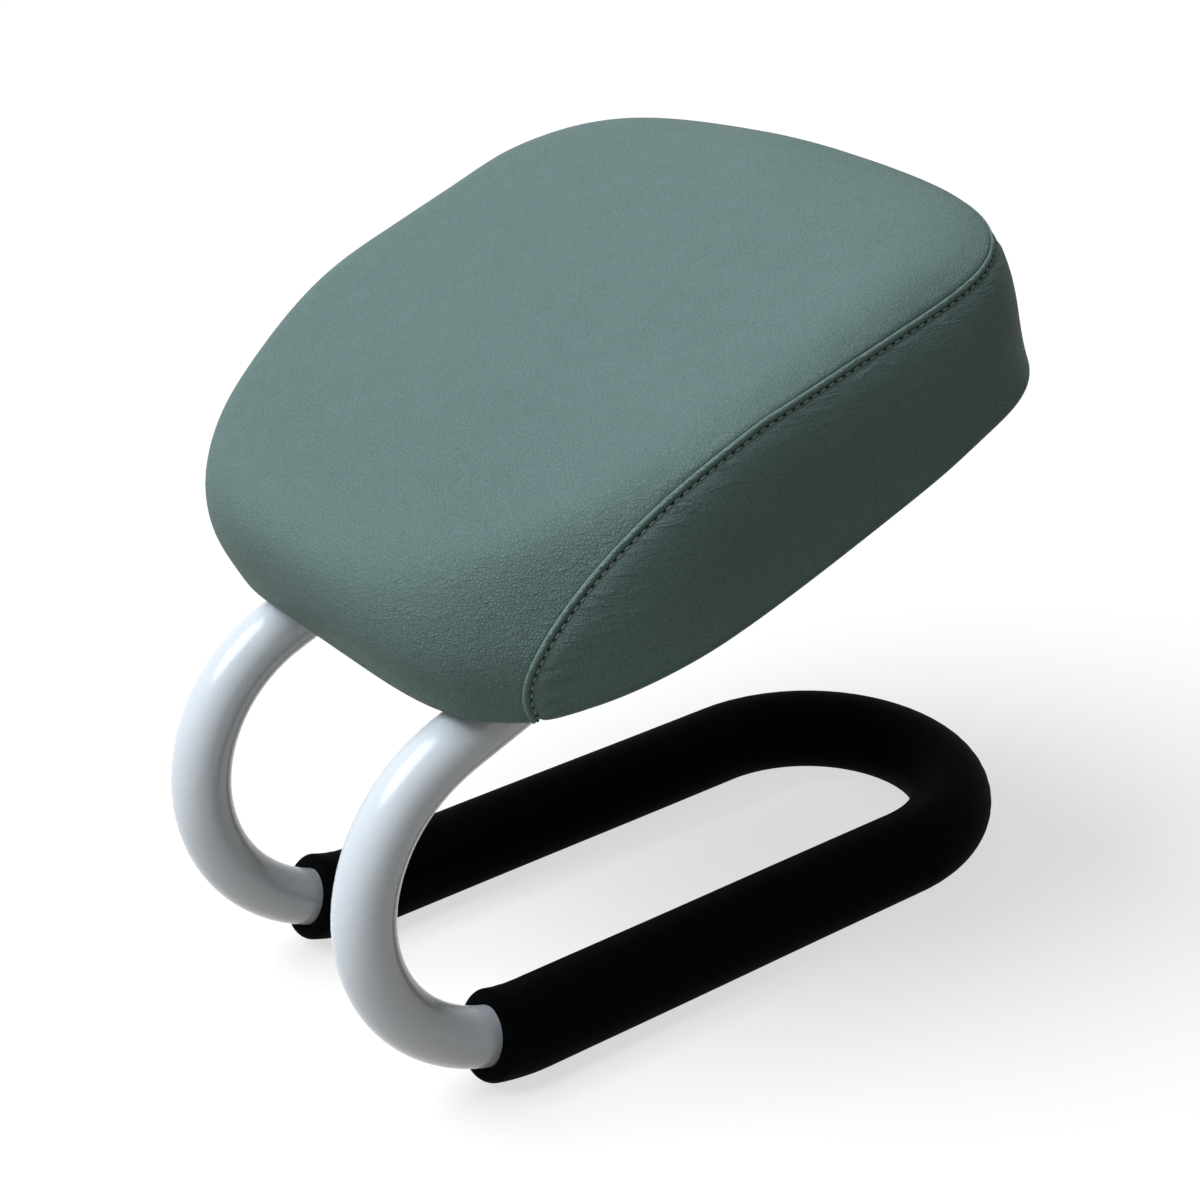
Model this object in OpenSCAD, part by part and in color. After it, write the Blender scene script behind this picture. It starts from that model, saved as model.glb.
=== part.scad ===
// Kneeling meditation bench. One steel tube is bent into a floor loop, two front bends and
// two sloping arms. A foam sleeve covers the loop, and a padded seat is bolted on the arms.
// X runs across the seat, Y from its low front edge to its high back, and Z up from the floor.

/* [Frame tube] */
// Outside diameter of the steel tube
tube_d = 25; // [20:0.5:28]
// Wall thickness of the steel tube
tube_wall = 1.5; // [1:0.1:2.5]
// Distance between the centre lines of the two legs
leg_gap = 135; // [110:1:160]
// Radius of the two front bends, at the tube's centre line
front_bend_r = 71.5; // [60:0.5:85]
// Length of the floor loop, from the front bends' centres to its far centre line
floor_len = 271.5; // [230:0.5:320]
// Length of each straight arm under the seat
arm_len = 232; // [215:1:260]
// Slope of the arms and the seat, in degrees
seat_tilt = 21; // [14:0.5:28]

/* [Foam sleeve] */
// Outside diameter of the foam sleeve
sleeve_d = 38; // [32:0.5:46]
// Reach of the sleeve up the right front bend, along the tube
sleeve_reach_right = 24; // [10:0.5:40]
// Reach of the sleeve up the left front bend, along the tube
sleeve_reach_left = 30; // [10:0.5:40]
// Rounding of the sleeve's two mouths
mouth_round = 3; // [1:0.5:5]
// Depth of the flat that the foam settles to on the floor
settle = 0.5; // [0.2:0.1:1.5]

/* [Seat outline] */
// Width of the seat at its widest
seat_w = 297; // [260:1:330]
// Length of the seat along its slope
seat_len = 293; // [280:1:330]
// Distance from the front edge to the widest place
widest_at = 214; // [170:1:235]
// Overhang of the seat in front of the straight arms
front_overhang = 8; // [4:0.5:12]

/* [Seat section] */
// Rounding of the cushion's bottom edge
bottom_round = 7; // [4:0.5:10]
// Height of the seam at the sides, above the board's underside
band_h = 67.5; // [50:0.5:80]
// Fall of the seam from its highest place to the back
band_drop = 12; // [0:0.5:16]
// Lean of the side walls between bottom and seam
side_lean = 5; // [0:0.5:9]
// Lean of the back wall between bottom and seam
back_lean = 2; // [0:0.5:9]
// Distance from the front edge to the place where the seam leaves the bottom
seam_start = 25; // [15:1:40]
// Length over which the seam climbs to its full height
seam_run = 104; // [60:1:120]
// Height of the top panel once it has rolled over its edge
edge_h = 69.5; // [68.5:0.5:90]
// Further rise of the top panel to the middle of the seat
crown_h = 3; // [2:0.5:16]
// Width of the roll over the low front edge
front_roll = 67; // [40:1:90]
// Width of the roll beside the side seams
side_roll = 8; // [7:1:40]
// Width of the roll beside the back seam
back_roll = 33; // [12:1:50]
// Swell of the side and back walls between bottom and seam
side_bulge = 2.2; // [0:0.1:5]
// Swell of the front between bottom and top
front_bulge = 2.2; // [0:0.1:5]

/* [Cover and board] */
// Thickness of the cover leather
leather_t = 1.2; // [0.8:0.1:2]
// Width of the hem that turns under the board
hem_w = 22; // [18:1:28]
// Width of the folded edge that the band laps over the top panel
lap_w = 2.8; // [2:0.2:5]
// Height that the folded edge stands proud of the panels
lap_proud = 1.2; // [0.6:0.1:2]
// Thickness of the plywood seat board
board_t = 12; // [9:0.5:18]
// Thickness of the dust cloth under the seat
cloth_t = 0.8; // [0.5:0.1:1.2]
// Distance from the seat's outline to the dust cloth's edge
cloth_inset = 17; // [13:1:20]

/* [Fasteners] */
// Diameter of the seat bolts
bolt_d = 6; // [5:0.5:8]
// Distance from the seat's front edge to the front bolts
bolt_front = 62; // [50:1:90]
// Distance from the back bolts to the ends of the arms
bolt_end = 38; // [30:1:60]
// Height of the saddle spacers between the arms and the board
spacer_h = 5; // [4:0.5:10]
// Diameter of the saddle spacers
spacer_d = 22; // [18:0.5:26]
// Number of staples round the dust cloth
staple_count = 28; // [16:1:40]

/* [Hidden] */

$fn = 64;
// Overrun of a cutter past the faces that it cuts
over = 1;
// Clearance between pieces that slide over each other
fit = 0.1;
// Overrun of a sweep past the place where it is cut, in degrees
over_turn = 1;
// Step by which a tube is drawn in where it runs on inside another one's wall
draw_in = 0.05;
// Step by which a rounding starts outside the surface that it rounds
lead_in = 0.25;

// Powers of the seat outline's curve in front of and behind the widest place, 2 for an ellipse
front_power = 3.6;
back_power = 2.85;
// Powers of the roll's curve at the front, beside the sides and at the back
front_roll_power = 2.8;
side_roll_power = 1.1;
back_roll_power = 1.5;
// Place of the crown's top along the seat, as a share of its length
crown_share = 0.62;
// Heights on the wall, places across the folded edge, places on the roll past it, and places
// towards the crown, where the section has points
wall_shares = [1 / 3, 2 / 3, 1];
lap_shares = [0, 0.25, 1];
roll_shares = [0.15, 0.35, 0.65, 1];
crown_shares = [0.4, 0.75, 1];
// Turns of the rounded bottom edge where the section has points, in degrees
round_turns = [0, 45, 90];
// Columns of the cushion's surface, in front of the seam and along it
front_cells = 12;
band_cells = 40;

// Plastic plugs in the ends of the arms
plug_head_h = 3;
plug_stem_h = 14;
plug_rib_h = 1.5;
plug_rib_proud = 0.8;
plug_rib_count = 3;
plug_wall = 2;
plug_round = 1.5;
// Saddles that seat the bolts on the round tube
saddle_drop = 3.5;
washer_t = 2;
washer_d = 15;
// Button head of the bolt, its hexagon socket and the bolt's distance from the board's top
head_d = 10.5;
head_h = 3.3;
head_round = 1.4;
socket_af = 4;
socket_h = 2;
bolt_short = 1;
// Tee nut: flange, barrel and prongs
flange_d = 18;
flange_t = 1.2;
barrel_wall = 1;
barrel_h = 9;
prong_h = 7;
prong_w = 2;
prong_t = 1.2;
prong_count = 4;
// Staple: crown, legs, wire, and the distance from the cloth's edge
staple_w = 10;
staple_leg = 7;
staple_wire = 1;
staple_inset = 7;

tube_r = tube_d / 2;
sleeve_r = sleeve_d / 2;
loop_r = leg_gap / 2;
leg_len = floor_len - loop_r;
// Middle of the whole bench from front to back, where Y is zero
mid_y = (floor_len + sleeve_r - front_bend_r - tube_r) / 2;
// Height of the floor loop's centre line
loop_z = sleeve_r - settle;
bend_sweep = 180 - seat_tilt;
// Bolt places along the seat, and their places along the arm
bolt_places = [bolt_front, front_overhang + arm_len - bolt_end];
seat_up = tube_r + spacer_h;
// Height at which the cushion's rounded bottom edge ends
wall_foot = bottom_round - leather_t;
crown_at = seat_len * crown_share;
// Direction of the place where the seam starts, seen from the widest place
start_share = (widest_at - seam_start) / widest_at;
start_a = -atan2(start_share, pow(1 - pow(start_share, front_power), 1 / front_power));
columns = concat(
    [for (i = [0 : front_cells - 1]) -180 - start_a + i * (180 + 2 * start_a) / front_cells],
    [for (i = [0 : band_cells - 1]) start_a + i * (180 - 2 * start_a) / band_cells]);
column_count = len(columns);
// Row of the cushion's section at which the band's folded edge ends on the top panel
fold_row = len(round_turns) + len(wall_shares) + len(lap_shares) + 1;

// Places: the floor loop, one side's front bend, the arms' own frame, and the seat's own frame
module floor_frame() translate([0, -mid_y, loop_z]) children();
module bend_frame(side) floor_frame() translate([side * loop_r, 0, front_bend_r]) children();
module arm_frame()
    bend_frame(0) rotate([seat_tilt, 0, 0]) translate([0, 0, front_bend_r]) children();
module seat_frame() arm_frame() translate([0, -front_overhang, seat_up]) children();
module at_bolts()
    arm_frame()
        for (side = [-1, 1], place = bolt_places)
            translate([side * loop_r, place - front_overhang, 0]) children();

// A profile swept along the floor loop, and round a front bend from the floor upwards
module front_bend(side, sweep)
    bend_frame(side) rotate([180, 90, 0]) rotate_extrude(angle = sweep)
        translate([front_bend_r, 0]) rotate(90) children();

module leg(side)
    floor_frame() translate([side * loop_r, leg_len, 0]) rotate([90, 0, 0])
        linear_extrude(leg_len) children();

module loop_end()
    floor_frame() translate([0, leg_len, 0]) rotate_extrude(angle = 180)
        translate([loop_r, 0]) children();

module ring(outer, inner) {
    difference() {
        circle(outer);
        circle(inner);
    }
}

// Seat outline: a point at a direction, at a depth below the cover's face and at a height
function outline_reach(a) =
    let (power = sin(a) < 0 ? front_power : back_power)
    pow(pow(abs(cos(a)), power) + pow(abs(sin(a)), power), -1 / power);
function outline(a, depth, h) =
    let (half = seat_w / 2 - depth - side_lean * h / band_h,
         back = seat_len - widest_at - depth - back_lean * h / band_h,
         along = sin(a) < 0 ? widest_at - depth : back)
    [half * cos(a) * outline_reach(a), widest_at + along * sin(a) * outline_reach(a)];
// The outline's point moved towards the crown's middle, and lifted to a height
function inward(p, inset, h) =
    let (out = p - [0, crown_at])
    concat(p - out * inset / norm(out), [h]);

// Height of the seam above the board's underside: a quarter ellipse at the front, then a slow fall
function seam_rise(a) =
    let (run = (outline(a, 0, wall_foot)[1] - seam_start) / seam_run)
    sqrt(1 - pow(1 - min(max(run, 0), 1), 2));
function seam_h(a) =
    let (full_at = seam_start + seam_run,
         back = max(outline(a, 0, wall_foot)[1] - full_at, 0) / (seat_len - full_at))
    wall_foot + (band_h - wall_foot - band_drop * back) * seam_rise(a);

// A size that changes from front to side to back as the direction turns
function turning(a, front, side, back) =
    side * pow(cos(a), 2) + (sin(a) < 0 ? front : back) * pow(sin(a), 2);
function roll_w(a) = turning(a, front_roll, side_roll, back_roll);
function roll_power(a) = turning(a, front_roll_power, side_roll_power, back_roll_power);

// Points of the cushion's section at one direction, from the hem under the board to the crown
function hem_point(a, depth) = inward(outline(a, depth, 0), hem_w - depth, depth - leather_t);
function round_point(a, depth, turn) =
    inward(outline(a, depth, wall_foot), (bottom_round - depth) * (1 - sin(turn)),
        wall_foot - (bottom_round - depth) * cos(turn));
function wall_point(a, depth, share) =
    let (h = wall_foot + (seam_h(a) - wall_foot) * share)
    inward(outline(a, depth, h), -side_bulge * sin(180 * share) * seam_rise(a), h);
function roll_point(a, depth, share, proud = 0) =
    let (seam = outline(a, depth, seam_h(a)),
         span = norm(seam - [0, crown_at]),
         power = roll_power(a),
         lift = pow(1 - pow(1 - share, power), 1 / power),
         rolled = (edge_h - depth - seam_h(a)) * lift,
         swell = turning(a, front_bulge, side_bulge, side_bulge) * (1 - seam_rise(a)) * sin(180 * lift),
         inset = min(share * roll_w(a), span),
         crown = crown_h * (1 - pow(1 - inset / span, 2)))
    inward(seam, inset - swell - proud, seam_h(a) + rolled + crown + proud * sign(share));
function crown_point(a, depth, share) =
    let (seam = outline(a, depth, seam_h(a)),
         start = min(roll_w(a) / norm(seam - [0, crown_at]), 1),
         r = start + (1 - start) * share,
         p = seam + ([0, crown_at] - seam) * r)
    [p[0], p[1], edge_h - depth + crown_h * (1 - pow(1 - r, 2))];

// Rows of the surface at one depth, each with a point in every column
function row(place) = [for (a = columns) place(a)];
function wall_rows(depth) = concat(
    [for (turn = round_turns) row(function(a) round_point(a, depth, turn))],
    [for (share = wall_shares) row(function(a) wall_point(a, depth, share))]);
function top_rows(depth) = concat(
    [for (share = roll_shares) row(function(a) roll_point(a, depth, past_lap(a, share)))],
    [for (share = crown_shares) row(function(a) crown_point(a, depth, share))]);
// The band's folded edge stands out at the seam, and fades away where the seam starts
function lap_share(a) = min(lap_w / roll_w(a), 1);
function past_lap(a, share) = lap_share(a) + (1 - lap_share(a)) * share;
function lap_rows(depth, proud) = concat(
    [for (share = lap_shares)
        row(function(a) roll_point(a, depth, share * lap_share(a), proud * seam_rise(a)))],
    [row(function(a) roll_point(a, depth, lap_share(a)))]);
function body_rows(depth, proud) = concat(wall_rows(depth), lap_rows(depth, proud), top_rows(depth));
function cover_rows(depth, proud) = concat([row(function(a) hem_point(a, depth))], body_rows(depth, proud));

// Triangles between two rows of points, without those that have no area
function corners(points, faces) = [for (f = faces)
    if (points[f[0]] != points[f[1]] && points[f[1]] != points[f[2]] && points[f[2]] != points[f[0]]) f];
function flat_list(rows) = [for (r = rows) each r];
function cell_corners(j, i) =
    let (next = (i + 1) % column_count)
    [j * column_count + i, j * column_count + next, (j + 1) * column_count + next, (j + 1) * column_count + i];
function quad(q) = [[q[0], q[2], q[1]], [q[0], q[3], q[2]]];
function shift(q, by) = [for (v = q) v + by];

// A closed shell between two surfaces, over the cells that belong to one panel
module panel(belongs) {
    outer = cover_rows(0, lap_proud);
    inner = cover_rows(leather_t, 0);
    rows = len(outer) - 1;
    points = concat(flat_list(outer), flat_list(inner));
    step = len(outer) * column_count;
    cells = [for (j = [0 : rows - 1], i = [0 : column_count - 1]) if (belongs(j, i)) [j, i]];
    skins = [for (c = cells)
        let (q = cell_corners(c[0], c[1]), back = shift(q, step))
        each concat(quad(q), quad([back[0], back[3], back[2], back[1]]))];
    rims = [for (c = cells)
        let (j = c[0], i = c[1], q = cell_corners(j, i), left = (i + column_count - 1) % column_count,
             right = (i + 1) % column_count)
        each concat(
            j == 0 || !belongs(j - 1, i) ? quad([q[1], q[0], q[0] + step, q[1] + step]) : [],
            j == rows - 1 || !belongs(j + 1, i) ? quad([q[3], q[2], q[2] + step, q[3] + step]) : [],
            belongs(j, left) ? [] : quad([q[0], q[3], q[3] + step, q[0] + step]),
            belongs(j, right) ? [] : quad([q[2], q[1], q[1] + step, q[2] + step]))];
    polyhedron(points, corners(points, concat(skins, rims)));
}

// Outline of a flat sheet or board under the cushion
module sheet_outline(inset)
    polygon([for (a = columns) let (p = inward(outline(a, 0, wall_foot), inset, 0)) [p[0], p[1]]]);

module frame_tube() {
    inner_r = tube_r - tube_wall;
    color("white") {
        loop_end() ring(tube_r, inner_r);
        for (side = [-1, 1]) {
            leg(side) ring(tube_r, inner_r);
            front_bend(side, bend_sweep) ring(tube_r, inner_r);
        }
        difference() {
            arm_frame()
                for (side = [-1, 1])
                    translate([side * loop_r, arm_len, 0]) rotate([90, 0, 0])
                        linear_extrude(arm_len + over) ring(tube_r - draw_in, inner_r + draw_in);
            at_bolts() cylinder(h = tube_d + 2 * over, d = bolt_d + 2 * fit, center = true);
        }
    }
}

module sleeve_profile() {
    difference() {
        ring(sleeve_r, tube_r + fit);
        translate([-sleeve_r, -2 * sleeve_r + settle]) square([2 * sleeve_r, sleeve_r]);
    }
}

// A cutter that trims the sleeve at an angle up the front bend, and rounds its outer edge
module sleeve_trim(side, angle) {
    steps = 6;
    wide = sleeve_r + over;
    edge = [for (turn = [0 : 90 / steps : 90])
        [sleeve_r - mouth_round + (mouth_round + lead_in) * sin(turn), mouth_round * (cos(turn) - 1)]];
    bend_frame(side) rotate([-angle, 0, 0]) translate([0, 0, -front_bend_r]) rotate([90, 0, 0])
        rotate_extrude()
            polygon(concat([[0, sleeve_r], [0, 0]], edge, [[wide, -mouth_round], [wide, sleeve_r]]));
}

module foam_sleeve() {
    color([0.05, 0.05, 0.05]) {
        loop_end() sleeve_profile();
        for (side = [-1, 1]) {
            reach = side > 0 ? sleeve_reach_right : sleeve_reach_left;
            angle = reach / front_bend_r * 180 / PI;
            leg(side) sleeve_profile();
            difference() {
                front_bend(side, ceil(angle) + over_turn) sleeve_profile();
                sleeve_trim(side, angle);
            }
        }
    }
}

module arm_plugs() {
    stem_r = tube_r - tube_wall - plug_rib_proud;
    rib_r = tube_r - tube_wall - fit;
    color([0.1, 0.1, 0.1]) arm_frame()
        for (side = [-1, 1])
            translate([side * loop_r, arm_len, 0]) rotate([-90, 0, 0]) {
                rotate_extrude() polygon([[0, 0], [tube_r, 0], [tube_r, plug_head_h - plug_round],
                    [tube_r - plug_round, plug_head_h], [0, plug_head_h]]);
                rotate([180, 0, 0]) rotate_extrude() polygon([
                    [stem_r - plug_wall, 0], [stem_r, 0],
                    for (rib = [1 : plug_rib_count])
                        let (z = rib * (plug_stem_h - plug_rib_h) / plug_rib_count)
                        each [[stem_r, z - plug_rib_h], [rib_r, z], [stem_r, z + plug_rib_h / 2]],
                    [stem_r, plug_stem_h], [stem_r - plug_wall, plug_stem_h]]);
            }
}

// A disc that seats on the round tube on one side, above it for up = 1 and below it for up = -1
module saddle(up, d, thick) {
    difference() {
        translate([0, 0, up * (tube_r - saddle_drop) - (up < 0 ? saddle_drop + thick : 0)])
            cylinder(h = saddle_drop + thick, d = d);
        rotate([90, 0, 0]) cylinder(h = d + 2 * over, r = tube_r + fit, center = true);
        cylinder(h = 2 * (seat_up + saddle_drop + over), d = bolt_d + 2 * fit, center = true);
    }
}

module saddle_spacers() color([0.12, 0.12, 0.12]) at_bolts() saddle(1, spacer_d, spacer_h);

module saddle_washers() color("silver") at_bolts() saddle(-1, washer_d, washer_t);

module seat_bolts() {
    head_z = -tube_r - washer_t;
    color("silver") at_bolts() difference() {
        union() {
            translate([0, 0, head_z]) cylinder(h = seat_up + board_t - bolt_short - head_z, d = bolt_d);
            translate([0, 0, head_z - head_h]) rotate_extrude()
                polygon([[0, 0], [head_d / 2 - head_round, 0], [head_d / 2, head_round],
                    [head_d / 2, head_h], [0, head_h]]);
        }
        translate([0, 0, head_z - head_h - over])
            cylinder(h = socket_h + over, d = socket_af / cos(30), $fn = 6);
    }
}

// Tee nut, or the room that it takes in the board, seen from the board's top face
module tee_nut(room) {
    barrel_r = bolt_d / 2 + fit + barrel_wall + room;
    translate([0, 0, -flange_t - room]) cylinder(h = flange_t + room, r = flange_d / 2 + room);
    translate([0, 0, -barrel_h - room]) cylinder(h = barrel_h + room, r = barrel_r);
    for (turn = [0 : prong_count - 1])
        rotate([0, 0, (turn + 0.5) * 360 / prong_count])
            translate([flange_d / 2 - prong_t - room, -prong_w / 2 - room, -prong_h - room])
                cube([prong_t + 2 * room, prong_w + 2 * room, prong_h + room]);
}

module tee_nuts()
    color("silver") at_bolts() translate([0, 0, seat_up + board_t]) difference() {
        tee_nut(0);
        translate([0, 0, -barrel_h - over]) cylinder(h = barrel_h + 2 * over, d = bolt_d + 2 * fit);
    }

// Staples stand along the dust cloth's edge, with their legs up in the board
module at_staples()
    seat_frame()
        for (i = [0 : staple_count - 1]) {
            a = 360 * i / staple_count;
            place = inward(outline(a, 0, 0), cloth_inset + staple_inset, -leather_t - cloth_t);
            along = outline(a + 1, 0, 0) - outline(a - 1, 0, 0);
            translate(place) rotate([0, 0, atan2(along[1], along[0])]) children();
        }

module staple_legs(room)
    for (side = [-1, 1])
        translate([side * (staple_w - staple_wire) / 2 - staple_wire / 2 - room, -staple_wire / 2 - room,
            -room])
            cube([staple_wire + 2 * room, staple_wire + 2 * room, staple_leg + 2 * room]);

module cloth_staples() color("silver") at_staples() {
    staple_legs(0);
    translate([-staple_w / 2, -staple_wire / 2, -staple_wire]) cube([staple_w, staple_wire, staple_wire]);
}

module seat_board() {
    hole_r = bolt_d / 2 + fit + barrel_wall + fit;
    color("burlywood") difference() {
        seat_frame() linear_extrude(board_t) sheet_outline(bottom_round);
        at_bolts() translate([0, 0, seat_up - over]) cylinder(h = board_t + 2 * over, r = hole_r);
        at_bolts() translate([0, 0, seat_up + board_t]) tee_nut(fit);
        at_staples() staple_legs(fit);
    }
}

module dust_cloth() {
    color([0.15, 0.15, 0.15]) difference() {
        seat_frame() translate([0, 0, -leather_t - cloth_t]) linear_extrude(cloth_t)
            sheet_outline(cloth_inset);
        at_bolts() translate([0, 0, tube_r]) cylinder(h = spacer_h + over, d = spacer_d + 2 * fit);
        at_staples() staple_legs(fit);
    }
}

// The foam fills the cover above the board, and its skirt wraps the board's edge
module foam_core() {
    board_edge = row(function(a) inward(outline(a, 0, wall_foot), bottom_round, board_t));
    board_middle = row(function(a) [0, crown_at, board_t]);
    grid = concat([board_middle, board_edge], body_rows(leather_t, 0));
    points = flat_list(grid);
    faces = [for (j = [0 : len(grid) - 2], i = [0 : column_count - 1]) each quad(cell_corners(j, i))];
    color("khaki") seat_frame() polyhedron(points, corners(points, faces));
}

module cover_top()
    color([0.45, 0.56, 0.54]) seat_frame()
        panel(function(j, i) j >= fold_row || i < front_cells);

module cover_band()
    color([0.4, 0.5, 0.47]) seat_frame()
        panel(function(j, i) j < fold_row && i >= front_cells);

frame_tube();
foam_sleeve();
arm_plugs();
saddle_spacers();
saddle_washers();
seat_bolts();
tee_nuts();
seat_board();
foam_core();
cover_top();
cover_band();
dust_cloth();
cloth_staples();
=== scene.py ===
# %% [markdown]
# # A kneeling meditation bench
#
# A white steel tube is bent into a floor loop, two round front bends and two sloping arms. A
# black foam sleeve covers the loop, and a cushion in sage green artificial leather is bolted on
# the arms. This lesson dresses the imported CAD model: it keeps the rigid pieces, gives each one
# a finish, and builds the soft ones again with the detail that cloth, leather and foam have.
# All lengths in the cushion's own cells are millimetres, as in its drawing, and become metres
# when a mesh is made.

# %% Load the frame
import math
import random

import bmesh
import bpy
import numpy as np
from mathutils import Matrix, Vector
from mathutils.geometry import delaunay_2d_cdt
from mathutils.kdtree import KDTree


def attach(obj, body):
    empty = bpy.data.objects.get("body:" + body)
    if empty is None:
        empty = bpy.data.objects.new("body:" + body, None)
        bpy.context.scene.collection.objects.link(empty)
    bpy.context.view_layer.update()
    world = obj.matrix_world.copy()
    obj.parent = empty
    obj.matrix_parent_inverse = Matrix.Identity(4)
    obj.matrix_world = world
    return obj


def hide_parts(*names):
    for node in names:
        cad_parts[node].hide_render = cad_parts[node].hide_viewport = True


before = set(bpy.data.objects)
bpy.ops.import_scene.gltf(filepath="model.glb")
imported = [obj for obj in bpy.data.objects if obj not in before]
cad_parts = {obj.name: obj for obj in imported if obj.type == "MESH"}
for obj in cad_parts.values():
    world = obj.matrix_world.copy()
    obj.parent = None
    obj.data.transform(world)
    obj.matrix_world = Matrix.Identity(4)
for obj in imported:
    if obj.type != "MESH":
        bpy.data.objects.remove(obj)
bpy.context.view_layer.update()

random.seed(7)
MM = 0.001
print("CAD nodes:", ", ".join(sorted(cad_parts)))

# %% [markdown]
# ## The camera
#
# The camera stands at the right front corner, a little above the seat. Its place, turn and lens
# were solved from the outlines of tube and sleeve in the photograph, so they are plain numbers
# here. A matrix built from three directions avoids guessing at rotation orders.

# %% Set up the camera
view_turn, view_rise, view_roll = (math.radians(v) for v in (55.4437, 24.9915, -2.8735))
back = Vector((math.sin(view_turn) * math.cos(view_rise),
    -math.cos(view_turn) * math.cos(view_rise), math.sin(view_rise)))
level = (-back).cross(Vector((0, 0, 1))).normalized()
upright = level.cross(-back)
right = math.cos(view_roll) * level + math.sin(view_roll) * upright
above = math.cos(view_roll) * upright - math.sin(view_roll) * level

camera_data = bpy.data.cameras.new("camera")
camera_data.sensor_width = 36
camera_data.lens = 68.06
camera = bpy.data.objects.new("camera", camera_data)
camera.matrix_world = Matrix.Translation((0.717885, -0.507254, 0.562933)) @ Matrix(
    (right, above, back)).transposed().to_4x4()
bpy.context.scene.collection.objects.link(camera)
bpy.context.scene.camera = camera
bpy.context.scene.view_settings.view_transform = "Standard"
print("camera lens", camera_data.lens, "mm")

# %% [markdown]
# ## A few helpers for node materials
#
# Every finish below is a tree of nodes. Written out one by one, the nodes hide the idea, so two
# short helpers add a node with its settings and join sockets by name.

# %% Node helpers
def add(tree, kind, links=(), **values):
    """Adds a node, sets its properties or inputs by name, and links inputs from other sockets."""
    node = tree.nodes.new(kind)
    for name, value in values.items():
        if hasattr(node, name):
            setattr(node, name, value)
        else:
            node.inputs[name.replace("_", " ")].default_value = value
    for name, socket in dict(links).items():
        tree.links.new(socket, node.inputs[name])
    return node


def number(tree, operation, *values, clamp=False):
    """One Math node. Each value is a socket or a plain number."""
    node = tree.nodes.new("ShaderNodeMath")
    node.operation, node.use_clamp = operation, clamp
    for slot, value in enumerate(values):
        if isinstance(value, bpy.types.NodeSocket):
            tree.links.new(value, node.inputs[slot])
        else:
            node.inputs[slot].default_value = value
    return node.outputs[0]


def weighted(tree, value, weight, base=0.0, clamp=False):
    """A value times its weight, plus a base that is there where the value is 0."""
    return number(tree, "MULTIPLY_ADD", value, weight, base, clamp=clamp)


def blend_colours(tree, share, first, second):
    """One colour Mix node. The share and both colours are sockets or plain values."""
    node = tree.nodes.new("ShaderNodeMix")
    node.data_type = "RGBA"
    for slot, value in ((0, share), (6, first), (7, second)):
        if isinstance(value, bpy.types.NodeSocket):
            tree.links.new(value, node.inputs[slot])
        else:
            node.inputs[slot].default_value = value if slot == 0 else (*value, 1)
    return node.outputs[2]


# %% Groups, finishes and what feeds them
def new_group(name, inputs, outputs):
    """An empty shader node group with float inputs and outputs, and its two end nodes."""
    tree = bpy.data.node_groups.new(name, "ShaderNodeTree")
    for label, value in inputs.items():
        socket = tree.interface.new_socket(label, in_out="INPUT", socket_type="NodeSocketFloat")
        socket.default_value = value
    for label in outputs:
        tree.interface.new_socket(label, in_out="OUTPUT", socket_type="NodeSocketFloat")
    return tree, tree.nodes.new("NodeGroupInput").outputs, tree.nodes.new("NodeGroupOutput").inputs


def place_group(tree, group, **values):
    """Places a group in a material with its own values."""
    node = tree.nodes.new("ShaderNodeGroup")
    node.node_tree = group
    for name, value in values.items():
        node.inputs[name.replace("_", " ")].default_value = value
    return node.outputs


def new_finish(name, **shader_values):
    """A material with its Principled shader, whose constant values are set on its own sockets."""
    material = bpy.data.materials.new(name)
    material.use_nodes = True
    shader = material.node_tree.nodes["Principled BSDF"]
    for label, value in shader_values.items():
        shader.inputs[label.replace("_", " ")].default_value = value
    return material, material.node_tree, shader.inputs


def feed(tree, ends, **sockets):
    """Links sockets to a shader's inputs or to a group's outputs, by name."""
    for name, socket in sockets.items():
        tree.links.new(socket, ends[name.replace("_", " ")])


def feed_colour(tree, shader, share, first, second):
    """The shader's colour: one colour, and another by a share that changes over the surface."""
    feed(tree, shader, Base_Color=blend_colours(tree, share, first, second))


def feed_normal(tree, shader, height, depth, strength=1.0):
    """Turns a height from 0 to 1 into bumps of a real depth in metres."""
    bump = add(tree, "ShaderNodeBump", {"Height": height}, Distance=depth, Strength=strength)
    feed(tree, shader, Normal=bump.outputs["Normal"])


# %% [markdown]
# ## Floor, background and light
#
# The bench stands in a plain bright studio. One broad soft light hangs high in front of the seat
# and a little to its left, so the top and the fronts of the tubes are bright and the side that
# faces the camera lies in shade. A sun lamp with a wide disc lights the floor as evenly as the
# seat, which keeps the background white to its edges. The room is dim and a little brighter in
# front, on the side of the light. Camera, glossy and transmission rays see the background white
# instead. The floor adds a little glow for those rays, so that only a light shadow is left on it.

# %% The room
def seen_directly(tree):
    """1 for rays that show the background itself: from the camera, off gloss or through glass."""
    path = tree.nodes.new("ShaderNodeLightPath").outputs
    seen = number(tree, "MAXIMUM", path["Is Camera Ray"], path["Is Glossy Ray"])
    return number(tree, "MAXIMUM", seen, path["Is Transmission Ray"])


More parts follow.
